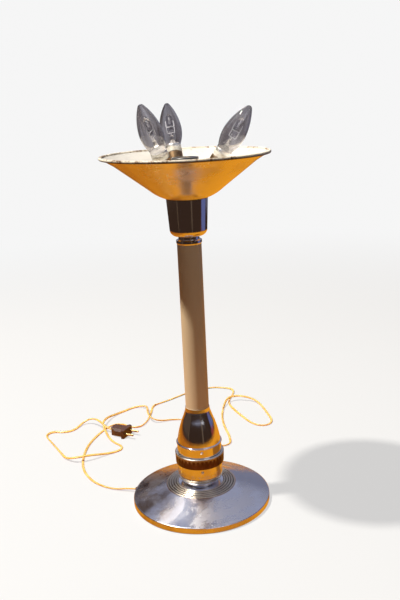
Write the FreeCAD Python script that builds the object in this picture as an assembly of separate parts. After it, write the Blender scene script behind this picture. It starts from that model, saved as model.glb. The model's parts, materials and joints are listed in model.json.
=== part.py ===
"""Tulip shade table lamp with three candle bulbs and a rotary ring switch in its foot.

Millimetres, +Z up. The origin is the centre of the lamp's footprint, on the surface it stands on.
From the bottom: felt, iron weight and spun disc, the lower shell, the fluted switch ring, the bell,
the painted column, the socket cup and the open bowl shade with its cluster of three sockets.
"""
import FreeCAD, Part
import math
import os

Vector = FreeCAD.Vector

# ---------------------------------------------------------------- driving dimensions
# fits
GAP = 0.3                  # between pieces that move past each other
SEAT = 0.05                # between fixed pieces that only slip over each other
SHEET = 1.0                # wall of the spun chrome shells
THROUGH = 5.0              # how far a cutter reaches past the faces that it cuts

# foot disc
BASE_R = 114.0             # outer radius of the disc
FELT_T = 1.5               # felt pad under the foot
LIP_TOP = 11.0             # height of the disc's upright edge above the table
LIP_ROUND = 1.6            # rounding between the upright edge and the cone
CONE_TOP_R = 58.0          # where the cone meets the turned steps
CONE_TOP_Z = 29.5
STEP_COUNT = 5             # turned steps round the foot of the stem
STEP_PITCH = 4.1
STEP_RISE = 1.7            # height of one ridge's crest above its outer foot
STEP_GROOVE = 0.5          # flat between two ridges
PLATEAU_RISE = 0.7         # the steps climb this much, one to the next
WEIGHT_BORE_R = 24.0       # room in the iron weight for the nut and the lead
BUSH_AZ = 165.6            # direction in which the lead leaves the foot, degrees from +X
BUSH_Z = 5.6
BUSH_OUT = 2.6             # how far the grommet stands out of the edge

# lower shell, between the disc and the switch ring
LOWER_R = 36.8
LOWER_FOOT_R = 26.0
LOWER_TOP_Z = 70.0
LOWER_BELLY_Z = 53.0       # below this the shell turns in towards its foot

# switch ring
RING_R_TOP = 40.5
RING_R_LOW = 39.8
RING_H = 18.2
RING_BORE_R = 33.0
FLUTE_COUNT = 36
FLUTE_R = 4.2              # cutter radius of one flute
FLUTE_DEEP = 0.8
DRIVE_KEYS = 3
KEY_W = 8.0

# bell, above the switch ring
BELL_R = 36.5
BELL_STRAIGHT_H = 14.6     # upright band under the bead
BEAD_R = 1.5
BELL_H = 70.6
BELL_MID = (4.2, 35.5)     # points of the shoulder: in from BELL_R and up from the bell's mouth
BELL_WAIST = (11.4, 58.0)
BELL_NECK = (13.7, 64.3)

# collars and column
COLLAR_R = 20.6
COLLAR_H = 6.5
COLUMN_R = 19.0
COLUMN_H = 270.0
COLUMN_WALL = 1.2
TOP_COLLAR_R = 19.9
TOP_COLLAR_H = 7.4
NECK_R = 16.2
NECK_H = 5.0

# socket cup
CUP_FLOOR_R = 19.0
CUP_LOW_R = 29.0
CUP_TOP_R = 32.0
CUP_TURN_H = 9.5           # height of the rounded turn from floor to wall
CUP_H = 57.6

# bowl shade
BOWL_RIM_R = 129.0         # outside of the rolled rim
BOWL_H = 67.0              # from the flat bottom to the middle of the rolled rim
BOWL_FLAT_R = 24.0
BOWL_KNEE_R = 57.0         # end of the rounded bottom
BOWL_KNEE_H = 16.6
BOWL_FLARE_R = 108.0       # start of the flare under the rim
BOWL_FLARE_H = 55.6
BOWL_FLARE_MID = (118.0, 61.6)
BOWL_WALL = 1.0
RIM_BEAD_R = 2.3

# socket cluster
CLUSTER_R = 20.0
CLUSTER_H = 58.0
LID_R = 20.6
LID_T = 3.8
LID_EDGE = 0.8
LID_NUT_H = 2.6            # the flat nut in the lid's well
NUT_WELL_R = 10.0
SOCKET_TILT = 29.8         # of each socket from upright, degrees
SOCKET_AZ = (-11.6, 108.4, 228.4)
TIP_R = 95.5               # how far the bulb tips stand from the lamp's axis
TIP_RISE = 81.0            # height of the bulb tips above the cluster body
CLUSTER_LEAN = 3.5         # the sockets lean this much towards +X, as photographed, degrees
CLUSTER_PIVOT = 56.0       # height above the bowl about which they lean

# candle bulbs, measured from the tip down the bulb's axis
BULB_R = 17.4
BULB_LEN = 74.0            # glass only
BULB_WIDE = 44.0           # from the tip to the widest place
BULB_TIP_R = 5.0
BULB_UPPER = (12.4, -20.0)  # points that the glass passes above and below its widest place
BULB_LOWER = (16.0, -59.0)
BULB_NECK_H = 3.0
BULB_NECK_R = 12.0
BULB_GLASS = 1.1
CAPSULE_R = 5.2
CAPSULE_TOP = 22.0
CAPSULE_LEN = 27.0
STEM_R = 1.3
CAP_R = 6.9
CAP_LEN = 23.5
CAP_SKIRT_R = 12.2
CAP_SKIRT_LEN = 5.0

# sockets
SOCKET_R = 12.8
SOCKET_LEN = 37.0
SOCKET_WALL = 0.8
SOCKET_GROOVE = 0.7
SOCKET_BAND = 7.0          # upper band of the socket above its groove
SOCKET_END_R = 9.5
NIPPLE_R = 5.0
NIPPLE_DEEP = 2.5          # how far a nipple reaches into the cluster body
LINER_WALL = 2.0
LINER_FLOOR = 4.0
CONTACT_W = 5.0

# centre rod and hardware
ROD_R = 5.0
ROD_BORE_R = 3.3
NUT_AF = 16.0
NUT_H = 6.0
WASHER_R = 12.0
WASHER_T = 1.6
HUB_LAND_R = RING_BORE_R - GAP
HUB_H = 9.0
LOW_HUB_SINK = 1.5         # the lower hub sits this much below the shell's mouth
BELL_HUB_RISE = 4.8        # and the upper hub this much above the bell's
LAND_H = 4.2
SCREW_R = 1.6
SCREW_HEAD_R = 2.4
SCREW_HEAD_H = 1.3
SCREW_LEN = 7.0
SCREW_SLOT = 0.7
SCREW_COUNT = 3
SCREW_AZ = -84.5           # the first screw faces the front, a little to the right

# switch parts
STATOR_R = 26.0
STATOR_T = 3.0
STUD_COUNT = 4
STUD_R = 1.8
STUD_H = 1.0
STUD_CIRCLE_R = 20.0
WIPER_T = 0.5
ROTOR_R = 24.0
ROTOR_T = 3.6
SPACER_R = 7.5

# lead and plug
LEAD_D = 4.6
PLUG_AT = (-142.3, 254.5)  # middle of the plug's front face, above the table
PLUG_AZ = -28.0            # direction in which its pins point
PLUG_LEN = 34.0
PLUG_W = 27.0
PLUG_REAR_W = 16.0
PLUG_H = 17.0
PLUG_CHAMFER = 4.4
PLUG_FLANGE_W = 35.0
PLUG_FLANGE_T = 5.0
PIN_R = 2.0
PIN_LEN = 19.0
PIN_SPACING = 19.0

# ---------------------------------------------------------------- heights that follow
BUSH_NECK_R = LEAD_D / 2 + 0.8
BASE_FLOOR = FELT_T
STEPS_IN_R = CONE_TOP_R - STEP_COUNT * STEP_PITCH
PLATEAU_Z = CONE_TOP_Z + STEP_COUNT * PLATEAU_RISE
LOWER_FOOT_Z = PLATEAU_Z
RING_Z = LOWER_TOP_Z + 0.5
RING_TOP = RING_Z + RING_H
BELL_Z = RING_TOP + 0.5
BELL_TOP = BELL_Z + BELL_H
COLLAR_Z = BELL_TOP
COLUMN_Z = COLLAR_Z + COLLAR_H
TOP_COLLAR_Z = COLUMN_Z + COLUMN_H
NECK_Z = TOP_COLLAR_Z + TOP_COLLAR_H
CUP_Z = NECK_Z + NECK_H
CUP_TOP_Z = CUP_Z + CUP_H
HUB_LOW_Z = LOWER_TOP_Z - HUB_H - LOW_HUB_SINK
STATOR_Z = LOWER_TOP_Z + LAND_H
STUD_Z = STATOR_Z + STATOR_T
WIPER_Z = STUD_Z + STUD_H + GAP
ROTOR_Z = WIPER_Z + WIPER_T
HUB_UP_Z = ROTOR_Z + ROTOR_T + GAP
BELL_HUB_Z = BELL_Z + BELL_HUB_RISE


def arc_height(a, through, b, radius):
    """Height of the profile arc a, through, b at a distance from the axis, on its lower side."""
    points = [Vector(r, 0, z) for r, z in (a, through, b)]
    circle = Part.Arc(*points).toShape().Curve
    return circle.Center.z - math.sqrt(circle.Radius ** 2 - (radius - circle.Center.x) ** 2)


# the bowl's rounded turn, measured from its flat bottom, and where the cup's mouth meets it
BOWL_TURN = ((BOWL_FLAT_R, 0.0), (BOWL_KNEE_R - 14.3, 6.7), (BOWL_KNEE_R, BOWL_KNEE_H))
BOWL_Z = CUP_TOP_Z + SEAT - arc_height(*BOWL_TURN, CUP_TOP_R - SHEET)
CLUSTER_Z = BOWL_Z + BOWL_WALL
LID_Z = CLUSTER_Z + CLUSTER_H
TIP_Z = BOWL_Z + CLUSTER_H + TIP_RISE


# ---------------------------------------------------------------- helpers
def at(r, z):
    """A point of a profile in the XZ plane."""
    return Vector(r, 0, z)


def segment(a, b):
    return Part.LineSegment(at(*a), at(*b)).toShape()


def bend(a, through, b):
    return Part.Arc(at(*a), at(*through), at(*b)).toShape()


def turned(edges):
    """The solid turned about +Z from a closed chain of profile edges."""
    wire = Part.Wire(Part.__sortEdges__(edges))
    return Part.Face(wire).revolve(Vector(0, 0, 0), Vector(0, 0, 1), 360)


def turned_points(points):
    """The solid turned from a closed polygon of (radius, height) points."""
    closed = list(points) + [points[0]]
    return turned([segment(a, b) for a, b in zip(closed, closed[1:])])


def cylinder(r, h, z=0.0):
    return Part.makeCylinder(r, h, Vector(0, 0, z))


def tube(r_out, r_in, h, z=0.0):
    return cylinder(r_out, h, z).cut(cylinder(r_in, h, z))


def offset_arc_point(a, through, b, wall):
    """The three points of the arc that runs wall inside the arc a, through, b."""
    circle = Part.Arc(at(*a), at(*through), at(*b)).toShape().Curve
    centre = circle.Center
    moved = []
    for p in (a, through, b):
        v = at(*p) - centre
        v.normalize()
        q = centre + v * (circle.Radius - wall)
        moved.append((q.x, q.z))
    return moved


def round_about(shape, azimuth, radius=0.0, z=0.0):
    """A copy moved out along +X by radius, up by z and turned to the azimuth."""
    copy = shape.copy()
    copy.translate(Vector(radius, 0, z))
    copy.rotate(Vector(0, 0, 0), Vector(0, 0, 1), azimuth)
    return copy


def spread(shape, count, first_azimuth, radius=0.0, z=0.0):
    step = 360.0 / count
    return [round_about(shape, first_azimuth + i * step, radius, z) for i in range(count)]


def radial_screw(depth_r, z, azimuth, head_r=SCREW_HEAD_R):
    """A round-head screw whose head sits on a shell of radius depth_r and points inwards."""
    shank = Part.makeCylinder(SCREW_R, SCREW_LEN, Vector(depth_r, 0, z), Vector(-1, 0, 0))
    head = Part.makeCone(head_r, head_r * 0.55, SCREW_HEAD_H, Vector(depth_r, 0, z), Vector(1, 0, 0))
    slot_at = Vector(depth_r + SCREW_HEAD_H / 2, -SCREW_SLOT / 2, z - head_r)
    slot = Part.makeBox(SCREW_HEAD_H, SCREW_SLOT, 2 * head_r, slot_at)
    screw = shank.fuse(head).cut(slot)
    screw.rotate(Vector(0, 0, 0), Vector(0, 0, 1), azimuth)
    return screw


def screw_hole(depth_r, z, azimuth):
    hole = Part.makeCylinder(SCREW_R + SEAT, SCREW_LEN + 4, Vector(depth_r + 3, 0, z), Vector(-1, 0, 0))
    hole.rotate(Vector(0, 0, 0), Vector(0, 0, 1), azimuth)
    return hole


def screw_azimuths():
    return [SCREW_AZ + i * 360.0 / SCREW_COUNT for i in range(SCREW_COUNT)]


nodes = {}


def keep(name, shape):
    if isinstance(shape, (list, tuple)):
        shape = Part.makeCompound(list(shape))
    nodes[name] = shape


# ---------------------------------------------------------------- foot
def step_edges():
    """The rounded ridges between the cone and the plateau, from the outermost inwards."""
    edges = []
    for i in range(STEP_COUNT):
        outer = CONE_TOP_R - i * STEP_PITCH
        z = CONE_TOP_Z + i * PLATEAU_RISE
        inner = outer - STEP_PITCH
        foot = (inner + STEP_GROOVE, z + PLATEAU_RISE / 2)
        crest = ((outer + foot[0]) / 2, z + STEP_RISE)
        edges.append(bend((outer, z), crest, foot))
        edges.append(segment(foot, (inner, z + PLATEAU_RISE)))
    return edges


def base_shell():
    lip_in = BASE_R - LIP_ROUND
    top = LIP_TOP
    edges = []
    edges.append(segment((BASE_R, BASE_FLOOR), (BASE_R, top - LIP_ROUND)))
    corner = (BASE_R - LIP_ROUND * 0.3, top - LIP_ROUND * 0.3)
    edges.append(bend((BASE_R, top - LIP_ROUND), corner, (lip_in, top)))
    edges.append(segment((lip_in, top), (CONE_TOP_R, CONE_TOP_Z)))
    edges += step_edges()
    upper = [(STEPS_IN_R, PLATEAU_Z), (ROD_R + SEAT, PLATEAU_Z)]
    lower = [
        (ROD_R + SEAT, PLATEAU_Z - SHEET),
        (STEPS_IN_R, PLATEAU_Z - SHEET),
        (CONE_TOP_R, CONE_TOP_Z - SHEET),
        (lip_in, top - SHEET * 1.1),
        (BASE_R - SHEET, top - SHEET * 1.4),
        (BASE_R - SHEET, BASE_FLOOR),
        (BASE_R, BASE_FLOOR),
    ]
    chain = upper + lower
    edges += [segment(a, b) for a, b in zip(chain, chain[1:])]
    shell = turned(edges)
    hole = Part.makeCylinder(BUSH_NECK_R, 12, Vector(BASE_R - 6, 0, BUSH_Z), Vector(1, 0, 0))
    return shell.cut(round_about(hole, BUSH_AZ))


def base_weight():
    under = SHEET + GAP
    points = [
        (WEIGHT_BORE_R, BASE_FLOOR),
        (BASE_R - SHEET - 4, BASE_FLOOR),
        (BASE_R - SHEET - 4, LIP_TOP - under - 1.2),
        (CONE_TOP_R, CONE_TOP_Z - under - 0.6),
        (STEPS_IN_R, PLATEAU_Z - under),
        (WEIGHT_BORE_R, PLATEAU_Z - under),
    ]
    channel_at = Vector(WEIGHT_BORE_R - 4, -LEAD_D / 2 - 2, 0)
    channel = Part.makeBox(BASE_R, LEAD_D + 4, BUSH_Z + LEAD_D / 2 + 1, channel_at)
    return turned_points(points).cut(round_about(channel, BUSH_AZ))


def grommet():
    flange_r = BUSH_NECK_R + 0.7
    bore = LEAD_D / 2 - 0.5
    profile = [
        (bore, -SHEET - 2.0),
        (flange_r, -SHEET - 2.0),
        (flange_r, -SHEET - 2 * SEAT),
        (BUSH_NECK_R - SEAT, -SHEET - 2 * SEAT),
        (BUSH_NECK_R - SEAT, SEAT),
        (flange_r, SEAT),
        (flange_r - 0.8, BUSH_OUT),
        (bore, BUSH_OUT),
    ]
    body = turned_points(profile)
    body.rotate(Vector(0, 0, 0), Vector(0, 1, 0), 90)
    body.translate(Vector(BASE_R, 0, BUSH_Z))
    return round_about(body, BUSH_AZ)


keep("base_felt", tube(BASE_R - SHEET - 0.5, WEIGHT_BORE_R, FELT_T))
keep("base_weight", base_weight())
keep("base_disc", base_shell())
keep("lead_grommet", grommet())


# ---------------------------------------------------------------- stem: shells, hubs and ring
def lower_shell():
    foot = (LOWER_FOOT_R, LOWER_FOOT_Z)
    belly = (LOWER_R, LOWER_BELLY_Z)
    through = (LOWER_R - 2.9, LOWER_BELLY_Z - 12.5)
    inner = offset_arc_point(foot, through, belly, SHEET)
    inner[0] = (inner[0][0], LOWER_FOOT_Z)
    edges = [
        bend(foot, through, belly),
        segment(belly, (LOWER_R, LOWER_TOP_Z)),
        segment((LOWER_R, LOWER_TOP_Z), (LOWER_R - SHEET, LOWER_TOP_Z)),
        segment((LOWER_R - SHEET, LOWER_TOP_Z), inner[2]),
        bend(inner[2], inner[1], inner[0]),
        segment(inner[0], foot),
    ]
    shell = turned(edges)
    for azimuth in screw_azimuths():
        shell = shell.cut(screw_hole(LOWER_R, HUB_LOW_Z + HUB_H / 2, azimuth))
    return shell


def hub(outer_r, z_disc, z_land, land_h, z_screw, shell_r):
    disc = cylinder(outer_r, HUB_H, z_disc)
    land = cylinder(HUB_LAND_R, land_h, z_land)
    low = min(z_disc, z_land) - THROUGH
    high = max(z_disc + HUB_H, z_land + land_h) + THROUGH
    body = disc.fuse(land).cut(cylinder(ROD_R + SEAT, high - low, low))
    for azimuth in screw_azimuths():
        body = body.cut(screw_hole(shell_r, z_screw, azimuth))
    return body.removeSplitter()


def bell():
    """The upper shell: an upright band, a bead, and a long shoulder drawn in to the column."""
    band_top = BELL_Z + BELL_STRAIGHT_H
    bead_top = band_top + 2 * BEAD_R
    shoulder = (BELL_R - 0.9, bead_top)
    waist = (BELL_R - BELL_WAIST[0], BELL_Z + BELL_WAIST[1])
    mid = (BELL_R - BELL_MID[0], BELL_Z + BELL_MID[1])
    neck = (COLLAR_R + 0.2, BELL_TOP)
    neck_mid = (BELL_R - BELL_NECK[0], BELL_Z + BELL_NECK[1])
    inner = offset_arc_point(shoulder, mid, waist, SHEET)
    edges = [
        segment((BELL_R, BELL_Z), (BELL_R, band_top)),
        bend((BELL_R, band_top), (BELL_R + BEAD_R * 0.8, band_top + BEAD_R), shoulder),
        bend(shoulder, mid, waist),
        bend(waist, neck_mid, neck),
        segment(neck, (ROD_R + SEAT, BELL_TOP)),
        segment((ROD_R + SEAT, BELL_TOP), (ROD_R + SEAT, BELL_TOP - SHEET)),
        segment((ROD_R + SEAT, BELL_TOP - SHEET), (neck[0] - SHEET, BELL_TOP - SHEET)),
        segment((neck[0] - SHEET, BELL_TOP - SHEET), inner[2]),
        bend(inner[2], inner[1], inner[0]),
        segment(inner[0], (BELL_R - SHEET, band_top)),
        segment((BELL_R - SHEET, band_top), (BELL_R - SHEET, BELL_Z)),
        segment((BELL_R - SHEET, BELL_Z), (BELL_R, BELL_Z)),
    ]
    shell = turned(edges)
    for azimuth in screw_azimuths():
        shell = shell.cut(screw_hole(BELL_R, BELL_HUB_Z + HUB_H / 2, azimuth))
    return shell


def switch_ring():
    """Moulded ring with shallow scalloped flutes, bored for the hubs and keyed for the rotor."""
    taper = [
        (RING_BORE_R, RING_Z),
        (RING_R_LOW, RING_Z),
        (RING_R_TOP, RING_TOP - 1.0),
        (RING_R_TOP - 1.0, RING_TOP),
        (RING_BORE_R, RING_TOP),
    ]
    ring = turned_points(taper)
    flutes = []
    for i in range(FLUTE_COUNT):
        cutter = cylinder(FLUTE_R, RING_H - 3.0, RING_Z - 1.0)
        cutter.translate(Vector(RING_R_TOP + FLUTE_R - FLUTE_DEEP, 0, 0))
        flutes.append(round_about(cutter, (i + 0.5) * 360.0 / FLUTE_COUNT))
    ring = ring.cut(flutes)
    keyway_at = Vector(RING_BORE_R - 4.5, -KEY_W / 2 - SEAT, ROTOR_Z)
    keyway = Part.makeBox(8.0, KEY_W + 2 * SEAT, RING_TOP - ROTOR_Z + 1, keyway_at)
    return ring.cut(spread(keyway, DRIVE_KEYS, 30))


def rotor():
    """Disc on the spacer with arms that reach into the ring's keyways."""
    disc = cylinder(ROTOR_R, ROTOR_T, ROTOR_Z)
    arm = Part.makeBox(RING_BORE_R + 3.0 - 10.0, KEY_W, ROTOR_T, Vector(10.0, -KEY_W / 2, ROTOR_Z))
    body = disc.fuse(spread(arm, DRIVE_KEYS, 30))
    return body.cut(cylinder(SPACER_R + GAP, ROTOR_T + 2 * THROUGH, ROTOR_Z - THROUGH)).removeSplitter()


def wiper():
    """Brass spring leaf under the rotor: a ring with one long finger over the studs."""
    ring = tube(13.0, SPACER_R + 2.0, WIPER_T, WIPER_Z)
    finger = Part.makeBox(STUD_CIRCLE_R + 2.0 - 10.0, 5.0, WIPER_T, Vector(10.0, -2.5, WIPER_Z))
    return ring.fuse(round_about(finger, 0)).removeSplitter()


keep("lower_shell", lower_shell())
low_screw_z = HUB_LOW_Z + HUB_H / 2
low_land_z = HUB_LOW_Z + HUB_H
low_land_h = STATOR_Z - GAP - low_land_z
keep("lower_hub", hub(LOWER_R - SHEET - SEAT, HUB_LOW_Z, low_land_z, low_land_h, low_screw_z, LOWER_R))
keep("lower_shell_screws", [radial_screw(LOWER_R + SEAT, low_screw_z, a) for a in screw_azimuths()])
keep("switch_ring", switch_ring())
stator = tube(STATOR_R, SPACER_R + SEAT, STATOR_T, STATOR_Z - GAP)
keep("switch_stator", stator)
stud = cylinder(STUD_R, STUD_H)
keep("switch_studs", [round_about(stud, i * 90.0, STUD_CIRCLE_R, STUD_Z - GAP) for i in range(STUD_COUNT)])
keep("switch_spacer", tube(SPACER_R, ROD_R + SEAT, HUB_UP_Z - STATOR_Z + GAP, STATOR_Z - GAP))
keep("switch_rotor", rotor())
keep("switch_wiper", wiper())
up_screw_z = BELL_HUB_Z + HUB_H / 2
upper_hub = hub(BELL_R - SHEET - SEAT, BELL_HUB_Z, HUB_UP_Z, BELL_HUB_Z - HUB_UP_Z, up_screw_z, BELL_R)
keep("upper_hub", upper_hub)
keep("bell", bell())
keep("bell_screws", [radial_screw(BELL_R + SEAT, up_screw_z, a) for a in screw_azimuths()])

# ---------------------------------------------------------------- column, collars, cup
collar_low = [
    (ROD_R + SEAT, COLLAR_Z),
    (COLLAR_R, COLLAR_Z),
    (COLLAR_R - 0.2, COLLAR_Z + 1.2),
    (COLLAR_R - 0.8, COLLAR_Z + COLLAR_H),
    (ROD_R + SEAT, COLLAR_Z + COLLAR_H),
]
keep("column_foot_collar", turned_points(collar_low))
keep("column_tube", tube(COLUMN_R, COLUMN_R - COLUMN_WALL, COLUMN_H, COLUMN_Z))
collar_top = [
    (ROD_R + SEAT, TOP_COLLAR_Z),
    (COLUMN_R, TOP_COLLAR_Z),
    (TOP_COLLAR_R, TOP_COLLAR_Z + 2.0),
    (TOP_COLLAR_R, TOP_COLLAR_Z + TOP_COLLAR_H - 1.4),
    (NECK_R + 1.4, TOP_COLLAR_Z + TOP_COLLAR_H),
    (ROD_R + SEAT, TOP_COLLAR_Z + TOP_COLLAR_H),
]
keep("column_top_collar", turned_points(collar_top))
keep("neck_ring", tube(NECK_R, ROD_R + SEAT, NECK_H, NECK_Z))


def socket_cup():
    floor = (CUP_FLOOR_R, CUP_Z)
    wall = (CUP_LOW_R, CUP_Z + CUP_TURN_H)
    through = (CUP_LOW_R - 3.2, CUP_Z + 2.9)
    inner = offset_arc_point(floor, through, wall, SHEET)
    top = CUP_TOP_Z
    edges = [
        segment((ROD_R + SEAT, CUP_Z), floor),
        bend(floor, through, wall),
        segment(wall, (CUP_TOP_R, top)),
        segment((CUP_TOP_R, top), (CUP_TOP_R - SHEET, top)),
        segment((CUP_TOP_R - SHEET, top), inner[2]),
        bend(inner[2], inner[1], inner[0]),
        segment(inner[0], (ROD_R + SEAT, CUP_Z + SHEET)),
        segment((ROD_R + SEAT, CUP_Z + SHEET), (ROD_R + SEAT, CUP_Z)),
    ]
    return turned(edges)


keep("socket_cup", socket_cup())


# ---------------------------------------------------------------- bowl shade
def bowl():
    """Spun bowl: flat bottom, rounded turn, straight flank, slight flare and a rolled rim."""
    flat, knee_mid, knee = [(r, BOWL_Z + z) for r, z in BOWL_TURN]
    flare = (BOWL_FLARE_R, BOWL_Z + BOWL_FLARE_H)
    rim = (BOWL_RIM_R - 2 * RIM_BEAD_R + 0.4, BOWL_Z + BOWL_H - 1.2)
    flare_mid = (BOWL_FLARE_MID[0], BOWL_Z + BOWL_FLARE_MID[1])
    rise = BOWL_WALL
    inner_flat = (BOWL_FLAT_R - 0.5, BOWL_Z + rise)
    inner_knee = (BOWL_KNEE_R - 0.75, BOWL_Z + BOWL_KNEE_H + rise)
    inner_mid = (knee_mid[0] - 0.6, knee_mid[1] + rise)
    inner_flare = (BOWL_FLARE_R - 0.6, BOWL_Z + BOWL_FLARE_H + rise)
    inner_rim = (rim[0] - 0.3, rim[1] + rise)
    inner_flare_mid = (flare_mid[0] - 0.5, flare_mid[1] + rise)
    centre = (BOWL_RIM_R - RIM_BEAD_R, BOWL_Z + BOWL_H)
    bead_top = (centre[0] + RIM_BEAD_R * 0.5, centre[1] + RIM_BEAD_R * 0.866)
    bead_edges = [
        bend(rim, (centre[0] + RIM_BEAD_R, centre[1]), bead_top),
        bend(bead_top, (centre[0] - RIM_BEAD_R * 0.6, centre[1] + RIM_BEAD_R * 0.8), inner_rim),
    ]
    edges = [
        segment((ROD_R + SEAT, BOWL_Z), flat),
        bend(flat, knee_mid, knee),
        segment(knee, flare),
        bend(flare, flare_mid, rim),
        *bead_edges,
        bend(inner_rim, inner_flare_mid, inner_flare),
        segment(inner_flare, inner_knee),
        bend(inner_knee, inner_mid, inner_flat),
        segment(inner_flat, (ROD_R + SEAT, BOWL_Z + rise)),
        segment((ROD_R + SEAT, BOWL_Z + rise), (ROD_R + SEAT, BOWL_Z)),
    ]
    return turned(edges)


keep("shade_bowl", bowl())


# ---------------------------------------------------------------- socket cluster and bulbs
def on_socket_axis(shape, azimuth):
    """Places a shape built tip-down: z = 0 at the bulb's tip, -z towards the lamp."""
    copy = shape.copy()
    copy.rotate(Vector(0, 0, 0), Vector(0, 1, 0), SOCKET_TILT)
    copy.translate(Vector(TIP_R, 0, TIP_Z))
    copy.rotate(Vector(0, 0, 0), Vector(0, 0, 1), azimuth)
    copy.rotate(Vector(0, 0, BOWL_Z + CLUSTER_PIVOT), Vector(0, 1, 0), CLUSTER_LEAN)
    return copy


SOCKET_TOP = -BULB_LEN - CAP_SKIRT_LEN - GAP
SOCKET_LOW = SOCKET_TOP - SOCKET_LEN
NIPPLE_LEN = (TIP_R - (-SOCKET_LOW) * math.sin(math.radians(SOCKET_TILT)) - CLUSTER_R) / math.sin(
    math.radians(SOCKET_TILT)) + NIPPLE_DEEP


def glass():
    """Candle-shaped glass: a blunt tip, slim shoulder, widest low down, straight neck."""
    lean = math.radians(60)
    shoulder = (BULB_TIP_R * math.sin(lean), -BULB_TIP_R * (1 - math.cos(lean)))
    tip_mid = (BULB_TIP_R * math.sin(lean / 2), -BULB_TIP_R * (1 - math.cos(lean / 2)))
    wide = (BULB_R, -BULB_WIDE)
    neck = (BULB_NECK_R, -BULB_LEN + BULB_NECK_H)
    upper = offset_arc_point(shoulder, BULB_UPPER, wide, BULB_GLASS)
    lower = offset_arc_point(wide, BULB_LOWER, neck, BULB_GLASS)
    lower[0] = upper[2]
    inner_end = (BULB_NECK_R - BULB_GLASS, -BULB_LEN)
    inner_tip = (0.0, upper[0][1] + BULB_TIP_R * 0.3)
    edges = [
        bend((0.0, 0.0), tip_mid, shoulder),
        bend(shoulder, BULB_UPPER, wide),
        bend(wide, BULB_LOWER, neck),
        segment(neck, (BULB_NECK_R, -BULB_LEN)),
        segment((BULB_NECK_R, -BULB_LEN), inner_end),
        segment(inner_end, lower[2]),
        bend(lower[2], lower[1], lower[0]),
        bend(upper[2], upper[1], upper[0]),
        segment(upper[0], inner_tip),
        segment(inner_tip, (0.0, 0.0)),
    ]
    return turned(edges)


def cap():
    """Metal cap: a skirt against the glass, the screw barrel and the centre contact."""
    top = -BULB_LEN
    skirt_low = top - CAP_SKIRT_LEN
    end = skirt_low - CAP_LEN
    points = [
        (0.0, top),
        (CAP_SKIRT_R, top),
        (CAP_SKIRT_R, skirt_low),
        (CAP_R, skirt_low - 1.5),
        (CAP_R, end + 3.0),
        (2.4, end + 0.8),
        (2.4, end),
        (0.0, end),
    ]
    return turned_points(points)


def capsule():
    """Halogen capsule on its stem, with the wire frame that carries it."""
    low = -(CAPSULE_TOP + CAPSULE_LEN)
    body = turned_points([
        (0.0, -CAPSULE_TOP + 3.0),
        (1.0, -CAPSULE_TOP + 2.0),
        (CAPSULE_R * 0.8, -CAPSULE_TOP),
        (CAPSULE_R, -CAPSULE_TOP - 3.0),
        (CAPSULE_R, low + 10.0),
        (CAPSULE_R * 0.6, low + 8.0),
        (0.0, low + 8.0),
    ])
    pinch = Part.makeBox(2 * CAPSULE_R, 2.4, 8.2, Vector(-CAPSULE_R, -1.2, low))
    stem = Part.makeCylinder(STEM_R, BULB_LEN - CAPSULE_TOP - CAPSULE_LEN, Vector(0, 0, -BULB_LEN))
    return body.fuse([pinch, stem]).removeSplitter()


def socket_shell():
    """Drawn socket shell: rolled mouth band, groove, long barrel and a domed end with a neck."""
    top = SOCKET_TOP
    low = SOCKET_LOW
    groove = top - SOCKET_BAND
    wall = SOCKET_WALL
    outside = [
        (SOCKET_R - 0.5, top),
        (SOCKET_R, top - 0.6),
        (SOCKET_R, groove + 0.6),
        (SOCKET_R - SOCKET_GROOVE, groove),
        (SOCKET_R - 0.2, groove - 0.9),
        (SOCKET_R + 0.4, low + 6.0),
        (SOCKET_END_R, low),
        (NIPPLE_R + SEAT, low),
    ]
    inside = [
        (NIPPLE_R + SEAT, low + wall),
        (SOCKET_END_R - wall * 0.6, low + wall),
        (SOCKET_R + 0.4 - wall * 1.2, low + 6.0),
        (SOCKET_R - SOCKET_GROOVE - wall, groove),
        (SOCKET_R - SOCKET_GROOVE - wall, top),
    ]
    return turned_points(outside + inside)


LINER_R = SOCKET_R - SOCKET_GROOVE - SOCKET_WALL - SEAT
CAP_END = -BULB_LEN - CAP_SKIRT_LEN - CAP_LEN


def socket_liner():
    """Ceramic liner with the screw well for the cap and a floor for the centre contact."""
    well_r = CAP_R + GAP + 0.5
    floor_top = CAP_END - 3.0
    low = max(floor_top - LINER_FLOOR, SOCKET_LOW + SOCKET_WALL + SEAT)
    points = [
        (well_r, SOCKET_TOP - 1.8),
        (LINER_R, SOCKET_TOP - 1.8),
        (LINER_R, floor_top),
        (LINER_R - 3.0, low),
        (0.0, low),
        (0.0, floor_top),
        (well_r, floor_top),
    ]
    return turned_points(points)


def socket_contact():
    """Sprung centre contact: a brass strip folded up from the liner's floor."""
    floor_top = CAP_END - 3.0
    foot = Part.makeBox(CONTACT_W, CONTACT_W, 0.6, Vector(-CONTACT_W / 2, -CONTACT_W / 2, floor_top))
    riser = Part.makeBox(0.6, CONTACT_W, 2.0, Vector(-CONTACT_W / 2, -CONTACT_W / 2, floor_top))
    tongue = Part.makeBox(CONTACT_W, CONTACT_W, 0.6, Vector(-CONTACT_W / 2, -CONTACT_W / 2, floor_top + 1.8))
    return foot.fuse([riser, tongue]).removeSplitter()


def socket_nipple():
    return Part.makeCylinder(NIPPLE_R, NIPPLE_LEN, Vector(0, 0, SOCKET_LOW - NIPPLE_LEN + SOCKET_WALL))


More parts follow.
